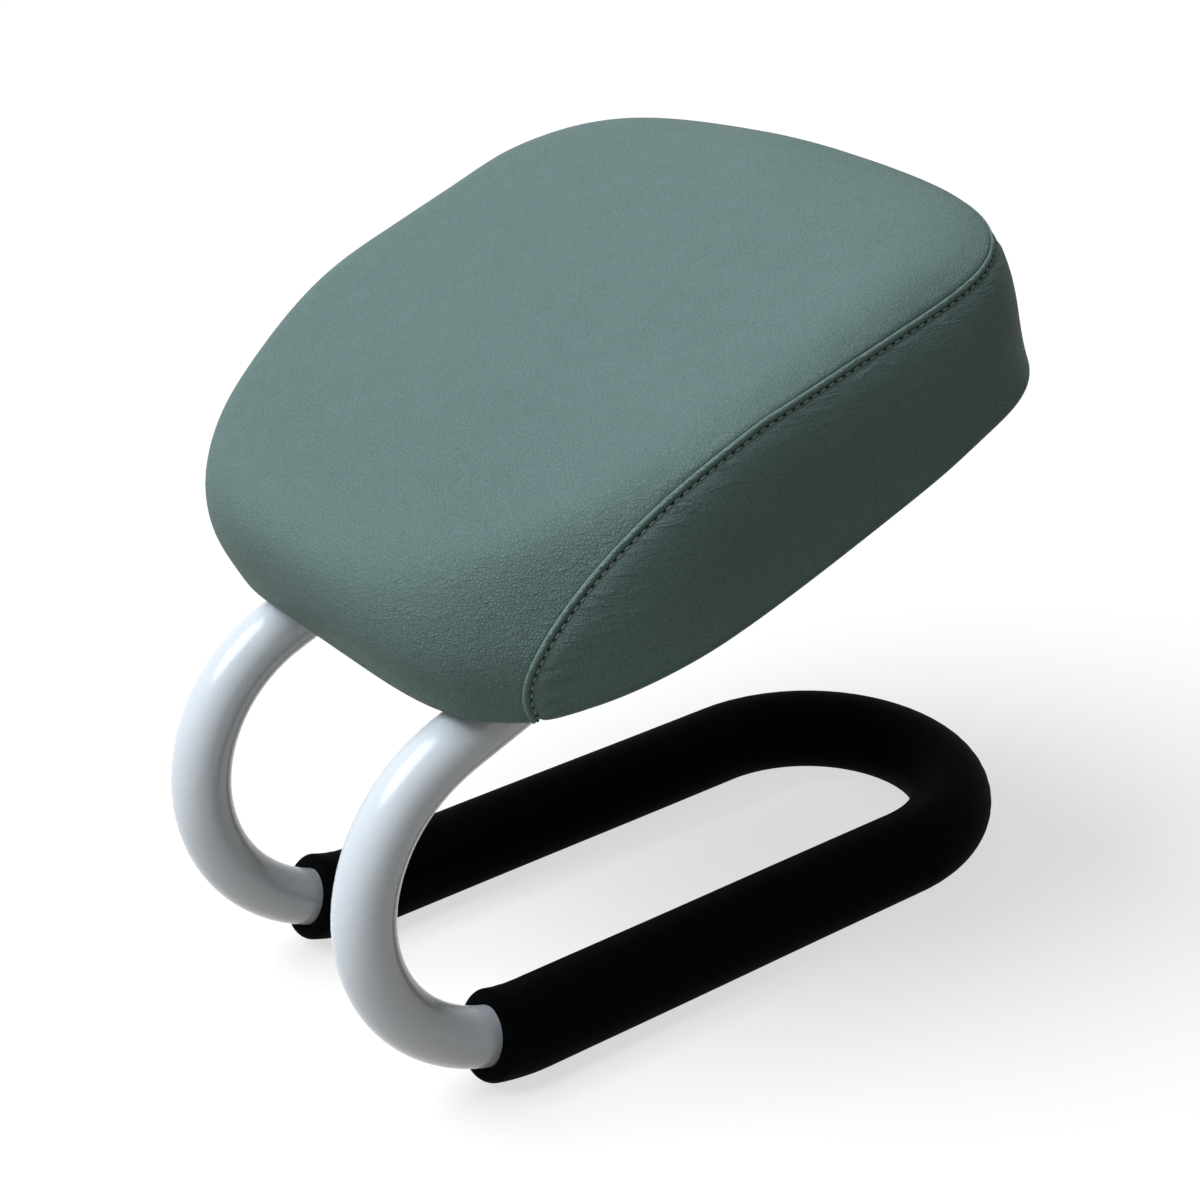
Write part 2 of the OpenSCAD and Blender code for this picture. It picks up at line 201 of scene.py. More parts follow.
dim_room, bright_room = (0.04, 0.041, 0.042), (0.33, 0.375, 0.42)
world = bpy.data.worlds.new("studio")
world.use_nodes = True
bpy.context.scene.world = world
sky = world.node_tree
toward = sky.nodes.new("ShaderNodeTexCoord").outputs["Generated"]
to_front = add(sky, "ShaderNodeVectorMath", {0: toward}, operation="DOT_PRODUCT")
to_front.inputs[1].default_value = (-0.62, -0.74, 0.26)
brighter = number(sky, "POWER", weighted(sky, to_front.outputs["Value"], 0.5, 0.5, clamp=True), 2.0)
room = blend_colours(sky, brighter, dim_room, bright_room)
feed(sky, sky.nodes["Background"].inputs,
    Color=blend_colours(sky, seen_directly(sky), room, (1, 1, 1)))
print("room from", dim_room, "to", bright_room)

# %% The soft lamp
lamp_data = bpy.data.lights.new("soft_box", "SUN")
lamp_data.energy = 2.85
lamp_data.color = (0.92, 1.0, 1.1)
lamp_data.angle = math.radians(40)
lamp = bpy.data.objects.new("soft_box", lamp_data)
lamp.rotation_euler = Vector((-0.15, -0.54, 0.83)).to_track_quat("Z", "Y").to_euler()
bpy.context.scene.collection.objects.link(lamp)
print("lamp of strength", round(lamp_data.energy, 2))

# %% The floor
floor_mesh = bpy.data.meshes.new("floor")
floor_half = 12
floor_corners = [(x * floor_half, y * floor_half, 0) for x, y in ((-1, -1), (1, -1), (1, 1), (-1, 1))]
floor_mesh.from_pydata(floor_corners, [], [(0, 1, 2, 3)])
floor = bpy.data.objects.new("floor", floor_mesh)
bpy.context.scene.collection.objects.link(floor)
paper, tree, shader = new_finish("pale_paper", Roughness=0.9, Specular_IOR_Level=0, Emission_Strength=1)
seen = seen_directly(tree)
feed_colour(tree, shader, seen, (0.34, 0.31, 0.275), (0.44, 0.41, 0.37))
feed(tree, shader, Emission_Color=blend_colours(tree, seen, (0, 0, 0), (0.66, 0.66, 0.66)))
floor_mesh.materials.append(paper)
print("floor", 2 * floor_half, "m wide")

# %% [markdown]
# ## Shared effects
#
# Several finishes need the same small effects: the pebbled grain of artificial leather, a slow
# mottle of colour, fine dust with rubbed marks, and the cells of foam. Each one is a node group
# that puts out only heights and masks. All of them read the object's own coordinates in metres,
# so a pebble is the same size on every piece and needs no unwrapping.

# %% Node group: pebbled grain
def object_place(tree):
    return tree.nodes.new("ShaderNodeTexCoord").outputs["Object"]


def fine_noise(tree, place, size, detail=2.0, roughness=0.5):
    """Noise whose features are about as large as size, in metres or as a socket of 1/metres."""
    node = add(tree, "ShaderNodeTexNoise", {"Vector": place}, Detail=detail, Roughness=roughness)
    if isinstance(size, bpy.types.NodeSocket):
        tree.links.new(size, node.inputs["Scale"])
    else:
        node.inputs["Scale"].default_value = 1 / size
    return node.outputs


grain, grain_in, grain_out = new_group("pebbled_grain",
    {"Cells per metre": 800, "Crease width": 0.22}, ("Height", "Crease"))
density, place = grain_in["Cells per metre"], object_place(grain)
stir = fine_noise(grain, place, number(grain, "MULTIPLY", density, 0.55))["Color"]
small = add(grain, "ShaderNodeVectorMath",
    {0: stir, "Scale": number(grain, "DIVIDE", 0.55, density)}, operation="SCALE")
shaken = add(grain, "ShaderNodeVectorMath", {0: place, 1: small.outputs[0]}, operation="ADD")
cells = add(grain, "ShaderNodeTexVoronoi", {"Vector": shaken.outputs[0], "Scale": density},
    feature="DISTANCE_TO_EDGE").outputs["Distance"]
dome = number(grain, "POWER", number(grain, "DIVIDE", cells, grain_in["Crease width"], clamp=True), 0.6)
swell = fine_noise(grain, place, number(grain, "MULTIPLY", density, 0.3))["Fac"]
feed(grain, grain_out, Height=weighted(grain, dome, 0.75, weighted(grain, swell, 0.45)),
    Crease=number(grain, "SUBTRACT", 1.0, dome))
print("group", grain.name)

# %% Node group: fine creases
creases, creases_in, creases_out = new_group("fine_creases",
    {"Spacing": 0.0022, "Turn": 0.0, "Along x": 0.2, "Along y": 0.2, "Along z": 1.0}, ("Height",))
swung = add(creases, "ShaderNodeVectorRotate",
    {"Vector": object_place(creases), "Angle": creases_in["Turn"]}, rotation_type="Z_AXIS")
stretch = add(creases, "ShaderNodeCombineXYZ",
    {axis: creases_in["Along " + axis.lower()] for axis in "XYZ"})
drawn = add(creases, "ShaderNodeVectorMath",
    {0: swung.outputs[0], 1: stretch.outputs[0]}, operation="MULTIPLY")
density = number(creases, "DIVIDE", 0.55, creases_in["Spacing"])
fold = add(creases, "ShaderNodeTexNoise", {"Vector": drawn.outputs[0], "Scale": density},
    Detail=3.0, Roughness=0.55, Distortion=0.5).outputs["Fac"]
off_middle = number(creases, "ABSOLUTE", number(creases, "SUBTRACT", fold, 0.5))
pinch = number(creases, "MULTIPLY", off_middle, 7.0, clamp=True)
feed(creases, creases_out, Height=weighted(creases, pinch, 0.14, fold))
print("group", creases.name)

# %% Node group: mottle and rubbed dust
mottle, mottle_in, mottle_out = new_group("mottle", {"Patch size": 0.03}, ("Patch", "Speck"))
place = object_place(mottle)
for label, per_patch, detail, rough in (("Patch", 1.0, 4.0, 0.6), ("Speck", 18.0, 2.0, 0.5)):
    density = number(mottle, "DIVIDE", per_patch, mottle_in["Patch size"])
    feed(mottle, mottle_out, **{label: fine_noise(mottle, place, density, detail, rough)["Fac"]})

dust, dust_in, dust_out = new_group("dust", {"Amount": 0.3, "Up share": 0.7}, ("Mask",))
up_share, normal = dust_in["Up share"], dust.nodes.new("ShaderNodeNewGeometry").outputs["Normal"]
facing = add(dust, "ShaderNodeSeparateXYZ", {0: normal}).outputs["Z"]
upward = weighted(dust, facing, up_share, number(dust, "SUBTRACT", 1.0, up_share), clamp=True)
broken = weighted(dust, fine_noise(dust, object_place(dust), 0.012, 5.0, 0.65)["Fac"], 3.0, -1.26, True)
lying = number(dust, "MULTIPLY", upward, broken)
feed(dust, dust_out, Mask=number(dust, "MULTIPLY", lying, dust_in["Amount"]))
print("groups", mottle.name, "and", dust.name)

# %% Node group: foam cells and felted fibres
foam_cells, foam_in, foam_out = new_group("foam_cells", {"Cells per metre": 1800}, ("Height", "Pit"))
place = object_place(foam_cells)
pore = add(foam_cells, "ShaderNodeTexVoronoi", {"Vector": place, "Scale": foam_in["Cells per metre"]},
    feature="SMOOTH_F1").outputs["Distance"]
# Pit is a mask of painted shade in the foam's pores, used only to darken colour.
feed(foam_cells, foam_out, Height=pore, Pit=weighted(foam_cells, pore, 3.0, -1.35, clamp=True))

felt, felt_in, felt_out = new_group("felted_fibres", {"Fibre size": 0.0012}, ("Height",))
place = object_place(felt)
density = number(felt, "DIVIDE", 1.0, felt_in["Fibre size"])
fibre = fine_noise(felt, place, density, 6.0, 0.8)["Fac"]
bonds = add(felt, "ShaderNodeTexVoronoi",
    {"Vector": place, "Scale": number(felt, "MULTIPLY", density, 0.5)}).outputs["Distance"]
dots = number(felt, "LESS_THAN", bonds, 0.25)
feed(felt, felt_out, Height=weighted(felt, dots, -0.4, fibre))
print("groups", foam_cells.name, "and", felt.name)

# %% [markdown]
# ## Artificial leather
#
# The cover is a sage grey-green vinyl with a fine, shallow pebble grain. Its colour is nearly
# even: the creases between pebbles get painted shade, and large areas drift by a few hundredths.
# It has a satin sheen, so its roughness is about a half, and pebble tops that hands and knees
# polish are slightly smoother than the creases. Where the leather is pulled, beside the seam and
# over the low front, fine creases lie across the pull. How strongly it is pulled is written on
# the mesh as a value called strain, so the creases fade away as they do on the real cover. A second
# value on the mesh marks the folded edge, which gets a painted highlight that makes the rim lighter.

# %% Leather finishes
def toned(colour, factor):
    return tuple(factor * value for value in colour)


def mesh_value(tree, name):
    """A value that is written on the mesh, point by point."""
    return add(tree, "ShaderNodeAttribute", attribute_name=name).outputs["Fac"]


def leather_finish(name, colour, grain_size, relief, crease_painted_shade, crease_depth, **lie):
    """Grained leather. Sizes are in metres, and lie says how its tension creases run."""
    finish, tree, shader = new_finish(name, Specular_IOR_Level=0.03)
    pebbles = place_group(tree, grain, Cells_per_metre=1 / grain_size)
    patches = place_group(tree, mottle, Patch_size=0.035)
    dusty = place_group(tree, dust, Amount=0.05)
    folds = place_group(tree, creases, **lie)
    drift = weighted(tree, patches["Patch"], 0.6, weighted(tree, patches["Speck"], 0.4))
    shade = blend_colours(tree, drift, toned(colour, 0.94), toned(colour, 1.06))
    # Painted shade: the creases between pebbles are darkened towards 0.45 of the colour.
    shade = blend_colours(tree, weighted(tree, pebbles["Crease"], crease_painted_shade), shade, toned(colour, 0.45))
    # Painted highlight: the folded rim is painted up to 1.6 times lighter.
    shade = blend_colours(tree, weighted(tree, mesh_value(tree, "painted_rim_highlight"), 0.6), shade, toned(colour, 1.6))
    feed_colour(tree, shader, dusty["Mask"], shade, (0.42, 0.45, 0.43))
    rough = weighted(tree, patches["Patch"], 0.12, 0.42)
    feed(tree, shader, Roughness=weighted(tree, pebbles["Crease"], 0.2, rough))
    strain = mesh_value(tree, "strain")
    pulled = number(tree, "MULTIPLY", folds["Height"], weighted(tree, strain, crease_depth / relief))
    height = weighted(tree, pebbles["Height"], weighted(tree, strain, 1.2, 0.8), pulled)
    feed_normal(tree, shader, height, relief)
    return finish


# %% The two leathers
sage = (0.170, 0.243, 0.216)
top_leather = leather_finish("top_leather", sage, grain_size=0.0014, relief=0.00014, crease_painted_shade=0.4,
    crease_depth=0.00085, Spacing=0.0009, Turn=-0.86, Along_x=0.35, Along_y=1, Along_z=0.6)
band_leather = leather_finish("band_leather", sage, grain_size=0.00125, relief=0.00014, crease_painted_shade=0.5,
    crease_depth=0.0018, Spacing=0.0015)
print("leather colour", sage)

# %% [markdown]
# ## Thread, paint, foam and the hidden materials
#
# The thread is bonded polyester in a lighter sage. The tube has a white powder coat: glossy, a
# little uneven like orange peel. The sleeve is closed-cell foam with a fine skin, nearly black,
# rubbed a little greyer on top. Plastic, steel, plywood and the dust cloth hide under the seat,
# but they show when the bench is turned over, so they get real finishes too.

# %% Thread, and painted shade for the needle holes
thread_finish, tree, shader = new_finish("thread", Roughness=0.6, Specular_IOR_Level=0.3)
strands = add(tree, "ShaderNodeTexWave", {"Vector": object_place(tree)}, Scale=900.0, Distortion=2.0,
    bands_direction="DIAGONAL").outputs["Fac"]
feed_colour(tree, shader, strands, (0.30, 0.38, 0.35), (0.44, 0.52, 0.48))
feed_normal(tree, shader, strands, 0.0001)

# Painted shade: the needle holes are drawn as flat dark caps of this colour on the leather.
hole_shade_finish, tree, shader = new_finish("needle_hole_shade", Roughness=0.9, Specular_IOR_Level=0.1)
patches = place_group(tree, mottle, Patch_size=0.002)
feed_colour(tree, shader, patches["Patch"], (0.012, 0.02, 0.018), (0.03, 0.045, 0.04))
print("thread and holes")

# %% White powder coat
tube_paint, tree, shader = new_finish("white_powder_coat", Coat_Weight=0.35, Coat_Roughness=0.16,
    Specular_IOR_Level=0.4)
patches = place_group(tree, mottle, Patch_size=0.02)
dusty = place_group(tree, dust, Amount=0.1)
white = blend_colours(tree, patches["Patch"], (0.76, 0.78, 0.79), (0.82, 0.84, 0.85))
feed_colour(tree, shader, dusty["Mask"], white, (0.6, 0.6, 0.59))
rough = weighted(tree, dusty["Mask"], 0.8, 0.2)
feed(tree, shader, Roughness=weighted(tree, patches["Speck"], 0.12, rough))
feed_normal(tree, shader, fine_noise(tree, object_place(tree), 0.0035, 1.0)["Fac"], 0.00008, 0.7)
print("powder coat")

# %% Black foam
sleeve_foam, tree, shader = new_finish("black_foam", Specular_IOR_Level=0.02)
pores = place_group(tree, foam_cells, Cells_per_metre=1900)
patches = place_group(tree, mottle, Patch_size=0.025)
dusty = place_group(tree, dust, Amount=0.1)
black = blend_colours(tree, patches["Patch"], (0.0006, 0.0007, 0.0008), (0.0014, 0.0016, 0.0017))
# Painted shade: the pores are painted darker still.
black = blend_colours(tree, pores["Pit"], black, (0.0003, 0.0003, 0.0003))
feed_colour(tree, shader, dusty["Mask"], black, (0.008, 0.0085, 0.008))
feed(tree, shader, Roughness=weighted(tree, patches["Speck"], 0.2, 0.66))
feed_normal(tree, shader, pores["Height"], 0.00012, 0.8)
print("sleeve foam")

# %% Plastic and steel
plastic, tree, shader = new_finish("black_plastic", Specular_IOR_Level=0.4)
pores = place_group(tree, foam_cells, Cells_per_metre=3200)
patches = place_group(tree, mottle, Patch_size=0.01)
feed_colour(tree, shader, patches["Patch"], (0.012, 0.012, 0.012), (0.022, 0.022, 0.023))
feed(tree, shader, Roughness=weighted(tree, patches["Speck"], 0.2, 0.42))
feed_normal(tree, shader, pores["Height"], 0.00004)

steel, tree, shader = new_finish("zinc_plated_steel")
patches = place_group(tree, mottle, Patch_size=0.004)
feed_colour(tree, shader, patches["Patch"], (0.5, 0.5, 0.49), (0.68, 0.68, 0.7))
feed(tree, shader, Metallic=weighted(tree, patches["Patch"], -0.15, 1.0),
    Roughness=weighted(tree, patches["Speck"], 0.2, 0.25))
feed_normal(tree, shader, patches["Speck"], 0.00003)
print("plastic and steel")

# %% Plywood, seat foam and dust cloth
plywood, tree, shader = new_finish("birch_plywood", Specular_IOR_Level=0.3)
along_grain = add(tree, "ShaderNodeMapping", {"Vector": object_place(tree)})
along_grain.inputs["Scale"].default_value = (1, 0.12, 1)
figure = fine_noise(tree, along_grain.outputs[0], 0.008, 6.0, 0.62)["Fac"]
plies = add(tree, "ShaderNodeTexWave", {"Vector": object_place(tree)}, Scale=70.0, bands_direction="Z")
wood = blend_colours(tree, figure, (0.42, 0.27, 0.14), (0.72, 0.55, 0.36))
feed_colour(tree, shader, weighted(tree, plies.outputs["Fac"], 0.2), wood, (0.3, 0.18, 0.09))
feed(tree, shader, Roughness=weighted(tree, figure, 0.2, 0.55))
feed_normal(tree, shader, figure, 0.0001)

cushion_foam, tree, shader = new_finish("cushion_foam", Roughness=0.95, Specular_IOR_Level=0.1)
pores = place_group(tree, foam_cells, Cells_per_metre=1100)
# Painted shade: the pores are painted a darker brown than the foam.
feed_colour(tree, shader, pores["Pit"], (0.8, 0.74, 0.55), (0.5, 0.42, 0.26))
feed_normal(tree, shader, pores["Height"], 0.0003)

dust_fabric, tree, shader = new_finish("dust_cloth_fabric", Roughness=0.95, Specular_IOR_Level=0.1)
felted = place_group(tree, felt, Fibre_size=0.0011)
feed_colour(tree, shader, felted["Height"], (0.008, 0.008, 0.008), (0.03, 0.03, 0.031))
feed_normal(tree, shader, felted["Height"], 0.0003)
print("plywood, seat foam and dust cloth")

# %% Finishes on the rigid CAD pieces
node_finishes = {"frame_tube": tube_paint, "arm_plugs": plastic, "saddle_spacers": plastic,
    "saddle_washers": steel, "seat_bolts": steel, "tee_nuts": steel, "seat_board": plywood,
    "cloth_staples": steel}
for node, finish in node_finishes.items():
    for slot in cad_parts[node].material_slots:
        slot.material = finish
print("finished", len(node_finishes), "CAD nodes")

# %% [markdown]
# ## The shape of the cushion
#
# The real cushion is moulded foam in a sewn cover. Seen from above it is a rounded shield, wide
# at the high back. Its sides lean in a little, its top swells to a crown, and at the front the
# top rolls down to the underside. The drawing describes this by a section that changes as it
# turns round the crown. The same kind of section is used here at a finer step, with values that
# follow the photograph's outline more closely, so the dressed cushion differs from its solid by
# a few millimetres. Sides and back have an upright wall with a short round edge. The low front
# is one long curve. Between them the two sections are mixed.

# %% Sizes of the cushion
# The plan, the wall with its seam, the rolls from wall to top, and the foot pulled in underneath
seat_w, seat_len, widest_at, front_taper, front_overhang = 297, 288.5, 215.5, 3.4, 8
bottom_round, leather_t, hem_w, band_h, band_drop, side_lean, back_lean = 4, 1.2, 22, 67, 11, 6, -2
seam_start, seam_run, edge_h, front_edge_h, crown_h = 20.2, 119, 75, 65, 1
front_roll, front_corner_roll, front_curve, front_corner_curve = 66, -43, 7, -5.4
side_roll, back_roll, back_corner_roll, side_curve = 24, 34, 50, 2
side_bulge, front_bulge, side_from, front_until = 3.2, 0.5, 136, 15
front_tuck, tuck_from, tuck_full, tuck_h = 5.5, 85, 28, 30
left_tuck_at, left_tuck_share, tuck_depth = (-95, -45), (0.25, 1), 8
back_tuck, back_tuck_at, back_tuck_reach = 2.6, 230, 20
front_power, back_power = 4.23, 3.1
wall_foot = bottom_round - leather_t
crown_at = seat_len * 0.62
drawn_len, drawn_widest_at, drawn_powers = 293, 214, (3.6, 2.85)
print("cushion", seat_w, "x", seat_len, "mm, seam up to", band_h, "mm high")


# %% The outline seen from above
def ramp(value, start, end):
    """0 up to the start, 1 from the end on, and even in between. The end may be the lower one."""
    return np.clip((value - start) / (end - start), 0, 1)


def outline_reach(turn, front=front_power, back=back_power):
    """How far a square with round corners reaches in a direction, where a circle reaches 1."""
    power = np.where(np.sin(turn) < 0, front, back)
    return (np.abs(np.cos(turn)) ** power + np.abs(np.sin(turn)) ** power) ** (-1 / power)


def outline(turn, height):
    """A point of the seat's outline, at a direction and at a height above the board's underside."""
    half = seat_w / 2 - side_lean * height / band_h
    along = np.where(np.sin(turn) < 0, widest_at, seat_len - widest_at - back_lean * height / band_h)
    reach = outline_reach(turn)
    y = widest_at + along * np.sin(turn) * reach
    half = half - front_taper * np.clip(1 - y / widest_at, 0, 1)
    return np.stack([half * np.cos(turn) * reach, y], -1)


def board_outline(turn, inset):
    """The drawing's own outline, moved inwards: board, dust cloth and staples follow it."""
    reach = outline_reach(turn, *drawn_powers)
    along = np.where(np.sin(turn) < 0, drawn_widest_at, drawn_len - drawn_widest_at)
    spot = np.stack([seat_w / 2 * np.cos(turn) * reach, drawn_widest_at + along * np.sin(turn) * reach], -1)
    return inward(spot, np.full(len(turn), float(inset)), np.zeros(len(turn)))[:, :2]


def inward(point, inset, height):
    """The point moved towards the crown's middle and lifted to a height."""
    out = point - (0, crown_at)
    flat = point - out * (inset / np.linalg.norm(out, axis=-1))[..., None]
    return np.concatenate([flat, (height + 0 * flat[..., 0])[..., None]], -1)


# %% Heights and widths round the cushion
def far_along(turn):
    """How far the foot of the wall lies from the front, at a direction."""
    return outline(turn, wall_foot)[..., 1]


def rim_height(turn):
    """Where the upright wall of the sides and the back ends, a little lower at the back."""
    full_at = seam_start + seam_run
    return band_h - band_drop * np.maximum(far_along(turn) - full_at, 0) / (seat_len - full_at)


def seam_height(turn):
    """The seam climbs to the rim in a quarter ellipse."""
    risen = np.sqrt(1 - (1 - ramp(far_along(turn), seam_start, seam_start + seam_run)) ** 2)
    return wall_foot + (rim_height(turn) - wall_foot) * risen


def side_share(turn):
    """1 where the cushion has its side's section, 0 at the low front, and a smooth change between."""
    share = ramp(far_along(turn), front_until, side_from)
    return share ** 2 * (3 - 2 * share)


def bent_in(share, width, curve):
    """How far a face has moved in at a share of its height, where it bends over to the top."""
    return width * (1 - (1 - share ** curve) ** (1 / curve))


print("rim from", round(float(rim_height(np.pi / 2)), 1), "to", band_h, "mm high")

# %% [markdown]
# ## The cushion as a map
#
# A sewn seam needs rows of points that run along it and across it at right angles, and no grid
# of simple columns gives that at the front corners, where the seam dives to the floor side. So
# the whole skin is laid out as a map first. One map direction goes round the cushion, and the
# other goes from the crown out to the hem. Any place on the map can be looked up as a point in
# space, and the seam and the panels are drawn on the map.

# %% One section of the skin
def distances(points):
    """How far each point lies along its line of points."""
    steps = np.linalg.norm(np.diff(points, axis=-2), axis=-1)
    return np.concatenate([0 * steps[..., :1], np.cumsum(steps, -1)], -1)


def tucked(points, turn):
    """Pulls the skin's foot in under the seat, most at the front, where it is stretched round the board."""
    along, out = far_along(turn), points[..., :2] - (0, crown_at)
    far = np.linalg.norm(out, axis=-1)
    inset = np.linalg.norm(outline(turn, wall_foot) - (0, crown_at), axis=-1) - far
    at_front = ramp(along, tuck_from, tuck_full) * np.interp(points[..., 0], left_tuck_at, left_tuck_share)
    at_back = np.exp(-((along - back_tuck_at) / back_tuck_reach) ** 2)
    low = ramp(points[..., 2], tuck_h, 0) * ramp(points[..., 2], -tuck_depth, 0)
    pull = (front_tuck * at_front + back_tuck * at_back) * low * ramp(inset, hem_w, bottom_round)
    return points - np.concatenate([out * (pull / np.maximum(far, 1))[..., None], 0 * pull[..., None]], -1)


def section(turn):
    """Points from the crown out to the hem's edge at each direction, and where each part ends."""
    turn = np.asarray(turn, float)[:, None]
    side, corner, ahead = side_share(turn), np.sin(2 * turn) ** 2, np.sin(turn) < 0
    at_back = (back_roll - side_roll) * np.sin(turn) ** 2 + back_corner_roll * corner
    side_w = side_roll + np.where(ahead, 0, at_back)
    front_w, front_p = front_roll + front_corner_roll * corner, front_curve + front_corner_curve * corner
    edge = side * edge_h + (1 - side) * front_edge_h
    rise = edge_h + crown_h - edge
    rim_z = rim_height(turn)
    rim = outline(turn, rim_z)
    span = np.linalg.norm(rim - (0, crown_at), axis=-1)

    start = (side * side_w + (1 - side) * front_w) / span
    r = start + (1 - start) * np.linspace(1, 0, 160)[None, :-1]
    crown_z = edge + rise * (1 - (1 - r) ** 2)
    crown = np.concatenate([rim + ((0, crown_at) - rim) * r[..., None], crown_z[..., None]], -1)

    share = 1 - np.linspace(0, 1, 150)[None] ** 3
    height = wall_foot + (edge_h - wall_foot) * share
    bent = bent_in(ramp(height, rim_z, edge_h), side_w, side_curve)
    inset = side * bent + (1 - side) * bent_in(share, front_w, front_p)
    upright = ramp(height, wall_foot, rim_z)
    side_swell, front_swell = np.sin(np.pi * upright ** 1.8), np.sin(np.pi * share)
    swell = side * side_bulge * side_swell + (1 - side) * front_bulge * front_swell
    face_z = wall_foot + (edge - wall_foot) * share + rise * (1 - (1 - inset / span) ** 2)
    face = inward(outline(turn, np.minimum(height, rim_z)), inset - swell, face_z)

    bend = np.linspace(np.pi / 2, 0, 24)[None, 1:]
    foot = outline(turn + 0 * bend, wall_foot)
    rounding = inward(foot, bottom_round * (1 - np.sin(bend)), wall_foot - bottom_round * np.cos(bend))
    under = np.linspace(bottom_round, hem_w, 20)[None, 1:]
    hem = inward(outline(turn + 0 * under, 0), under, -leather_t + 0 * under)

    parts = [tucked(part, turn) for part in (crown, face, rounding, hem)]
    ends = np.cumsum([part.shape[1] for part in parts]) - 1
    points = np.concatenate(parts, 1)
    return points, distances(points), ends


def length_at_height(sections, heights):
    """How far out from the crown each section has come down to a height on its face."""
    points, lengths, ends = sections
    face = slice(ends[0] + 1, ends[1] + 1)
    return np.array([np.interp(-high, -spots[face, 2], own[face])
        for spots, own, high in zip(points, lengths, heights)])


# %% Lay the sections out on a map
map_columns = 720
top_cells, round_cells, hem_cells = 480, 24, 40
FOOT, LOW, END = top_cells, top_cells + round_cells, top_cells + round_cells + hem_cells
all_turns = np.linspace(-1.5 * np.pi, 1.5 * np.pi, 6001)
feet = outline(all_turns, wall_foot) - (0, crown_at)
all_directions = np.unwrap(np.arctan2(feet[:, 1], feet[:, 0]))
midway = len(all_turns) // 2
all_directions += np.round((all_turns[midway] - all_directions[midway]) / (2 * np.pi)) * 2 * np.pi


def map_column(turn):
    """The map's column at a direction of the outline's formula."""
    return np.interp(turn, all_turns, all_directions) / (2 * np.pi) * map_columns


column_turns = np.interp(np.arange(map_columns) / map_columns * 2 * np.pi - np.pi / 2,
    all_directions, all_turns)
points, lengths, ends = section(column_turns)
skin_map = np.empty((map_columns, END + 1, 3))
for column in range(map_columns):
    own = lengths[column]
    foot, low, end = own[ends[1]], own[ends[2]], own[ends[3]]
    marks = np.concatenate([np.linspace(0, foot, top_cells, endpoint=False),
        np.linspace(foot, low, round_cells, endpoint=False), np.linspace(low, end, hem_cells + 1)])
    for axis in range(3):
        skin_map[column, :, axis] = np.interp(marks, own, points[column, :, axis])
skin_map = np.roll(skin_map, -map_columns // 4, axis=0)
print("map of", skin_map.shape[0], "by", skin_map.shape[1], "places")

# %% Soften the map
# First the roll inside the seam, and then the whole map round the cushion, as foam and leather do
row_length = lengths[:, ends[1]] / top_cells
sewn_at = length_at_height((points, lengths, ends), seam_height(column_turns))
from_seam = (sewn_at / row_length)[:, None] - np.arange(FOOT + 1)
from_seam = np.roll(from_seam * row_length[:, None], -map_columns // 4, axis=0)
blend = ramp(from_seam, 1, 7) * ramp(np.arange(FOOT + 1), 40, 80)
reach, roll_softness, turn_softness = 36, 11, 5
spread = np.exp(-0.5 * (np.arange(-reach, reach + 1) / roll_softness) ** 2)
soft_rows = skin_map[:, :FOOT + 1].copy()
for column in range(map_columns):
    for axis in range(3):
        padded = np.pad(skin_map[column, :FOOT + 1, axis], reach, mode="reflect", reflect_type="odd")
        soft_rows[column, :, axis] = np.convolve(padded, spread / spread.sum(), mode="valid")
skin_map[:, :FOOT + 1] += blend[..., None] * (soft_rows - skin_map[:, :FOOT + 1])
waves = np.exp(-2 * (np.pi * turn_softness * np.fft.rfftfreq(map_columns)) ** 2)[:, None, None]
skin_map = np.fft.irfft(np.fft.rfft(skin_map, axis=0) * waves, map_columns, axis=0)
print("softened by", roll_softness, "rows and", turn_softness, "columns")


# %% Look up places on the map
def on_skin(column, row):
    """The point in space at a place of the map, by a smooth blend of its 16 neighbours."""
    column, row = np.broadcast_arrays(np.asarray(column, float), np.clip(row, 0, END))
    first, below = np.floor(column).astype(int), np.floor(row).astype(int)

    def weights(t):
        return ((-t + 2 * t ** 2 - t ** 3) / 2, (2 - 5 * t ** 2 + 3 * t ** 3) / 2,
            (t + 4 * t ** 2 - 3 * t ** 3) / 2, (t ** 3 - t ** 2) / 2)

    total = 0
    for i, across in enumerate(weights(column - first)):
        for j, along in enumerate(weights(row - below)):
            total = total + (across * along)[..., None] * skin_map[
                (first + i - 1) % map_columns, np.clip(below + j - 1, 0, END)]
    return total


def unit(v):
    return v / np.maximum(np.linalg.norm(v, axis=-1, keepdims=True), 1e-12)


def slopes(column, row, step=0.3):
    """How the skin runs on from a place, per column and per row of the map."""
    round_it = (on_skin(column + step, row) - on_skin(column - step, row)) / (2 * step)
    row = np.clip(row, step, END - step)
    return round_it, (on_skin(column, row + step) - on_skin(column, row - step)) / (2 * step)


def outward(column, row):
    """The skin's outward direction at a place of the map."""
    round_it, out = slopes(column, row)
    return unit(np.cross(out, round_it))


print("crown", round(on_skin(0, 0)[2], 1), "mm above the board's underside")

# %% [markdown]
# ## The seam line and the strips beside it
#
# The seam starts under the board at one front corner, climbs over the rounded edge and up the
# side in a quarter ellipse, runs round the back and comes down again. It is followed on the map
# and cut into equal steps. From each step a row of points walks away over the skin at a right
# angle, once on the band's side and once on the top panel's side. Those rows carry everything
# that sewing does to leather: the folded edge, the groove, the stitches and the puckers.

# %% Follow the seam
seam_step = 2.0


def evenly(columns, rows, count=None):
    """Places at equal real distances along a line on the map."""
    done = distances(on_skin(columns, rows))
    count = count or int(round(done[-1] / seam_step)) + 1
    marks = np.linspace(0, done[-1], count)
    return np.interp(marks, done, columns), np.interp(marks, done, rows)


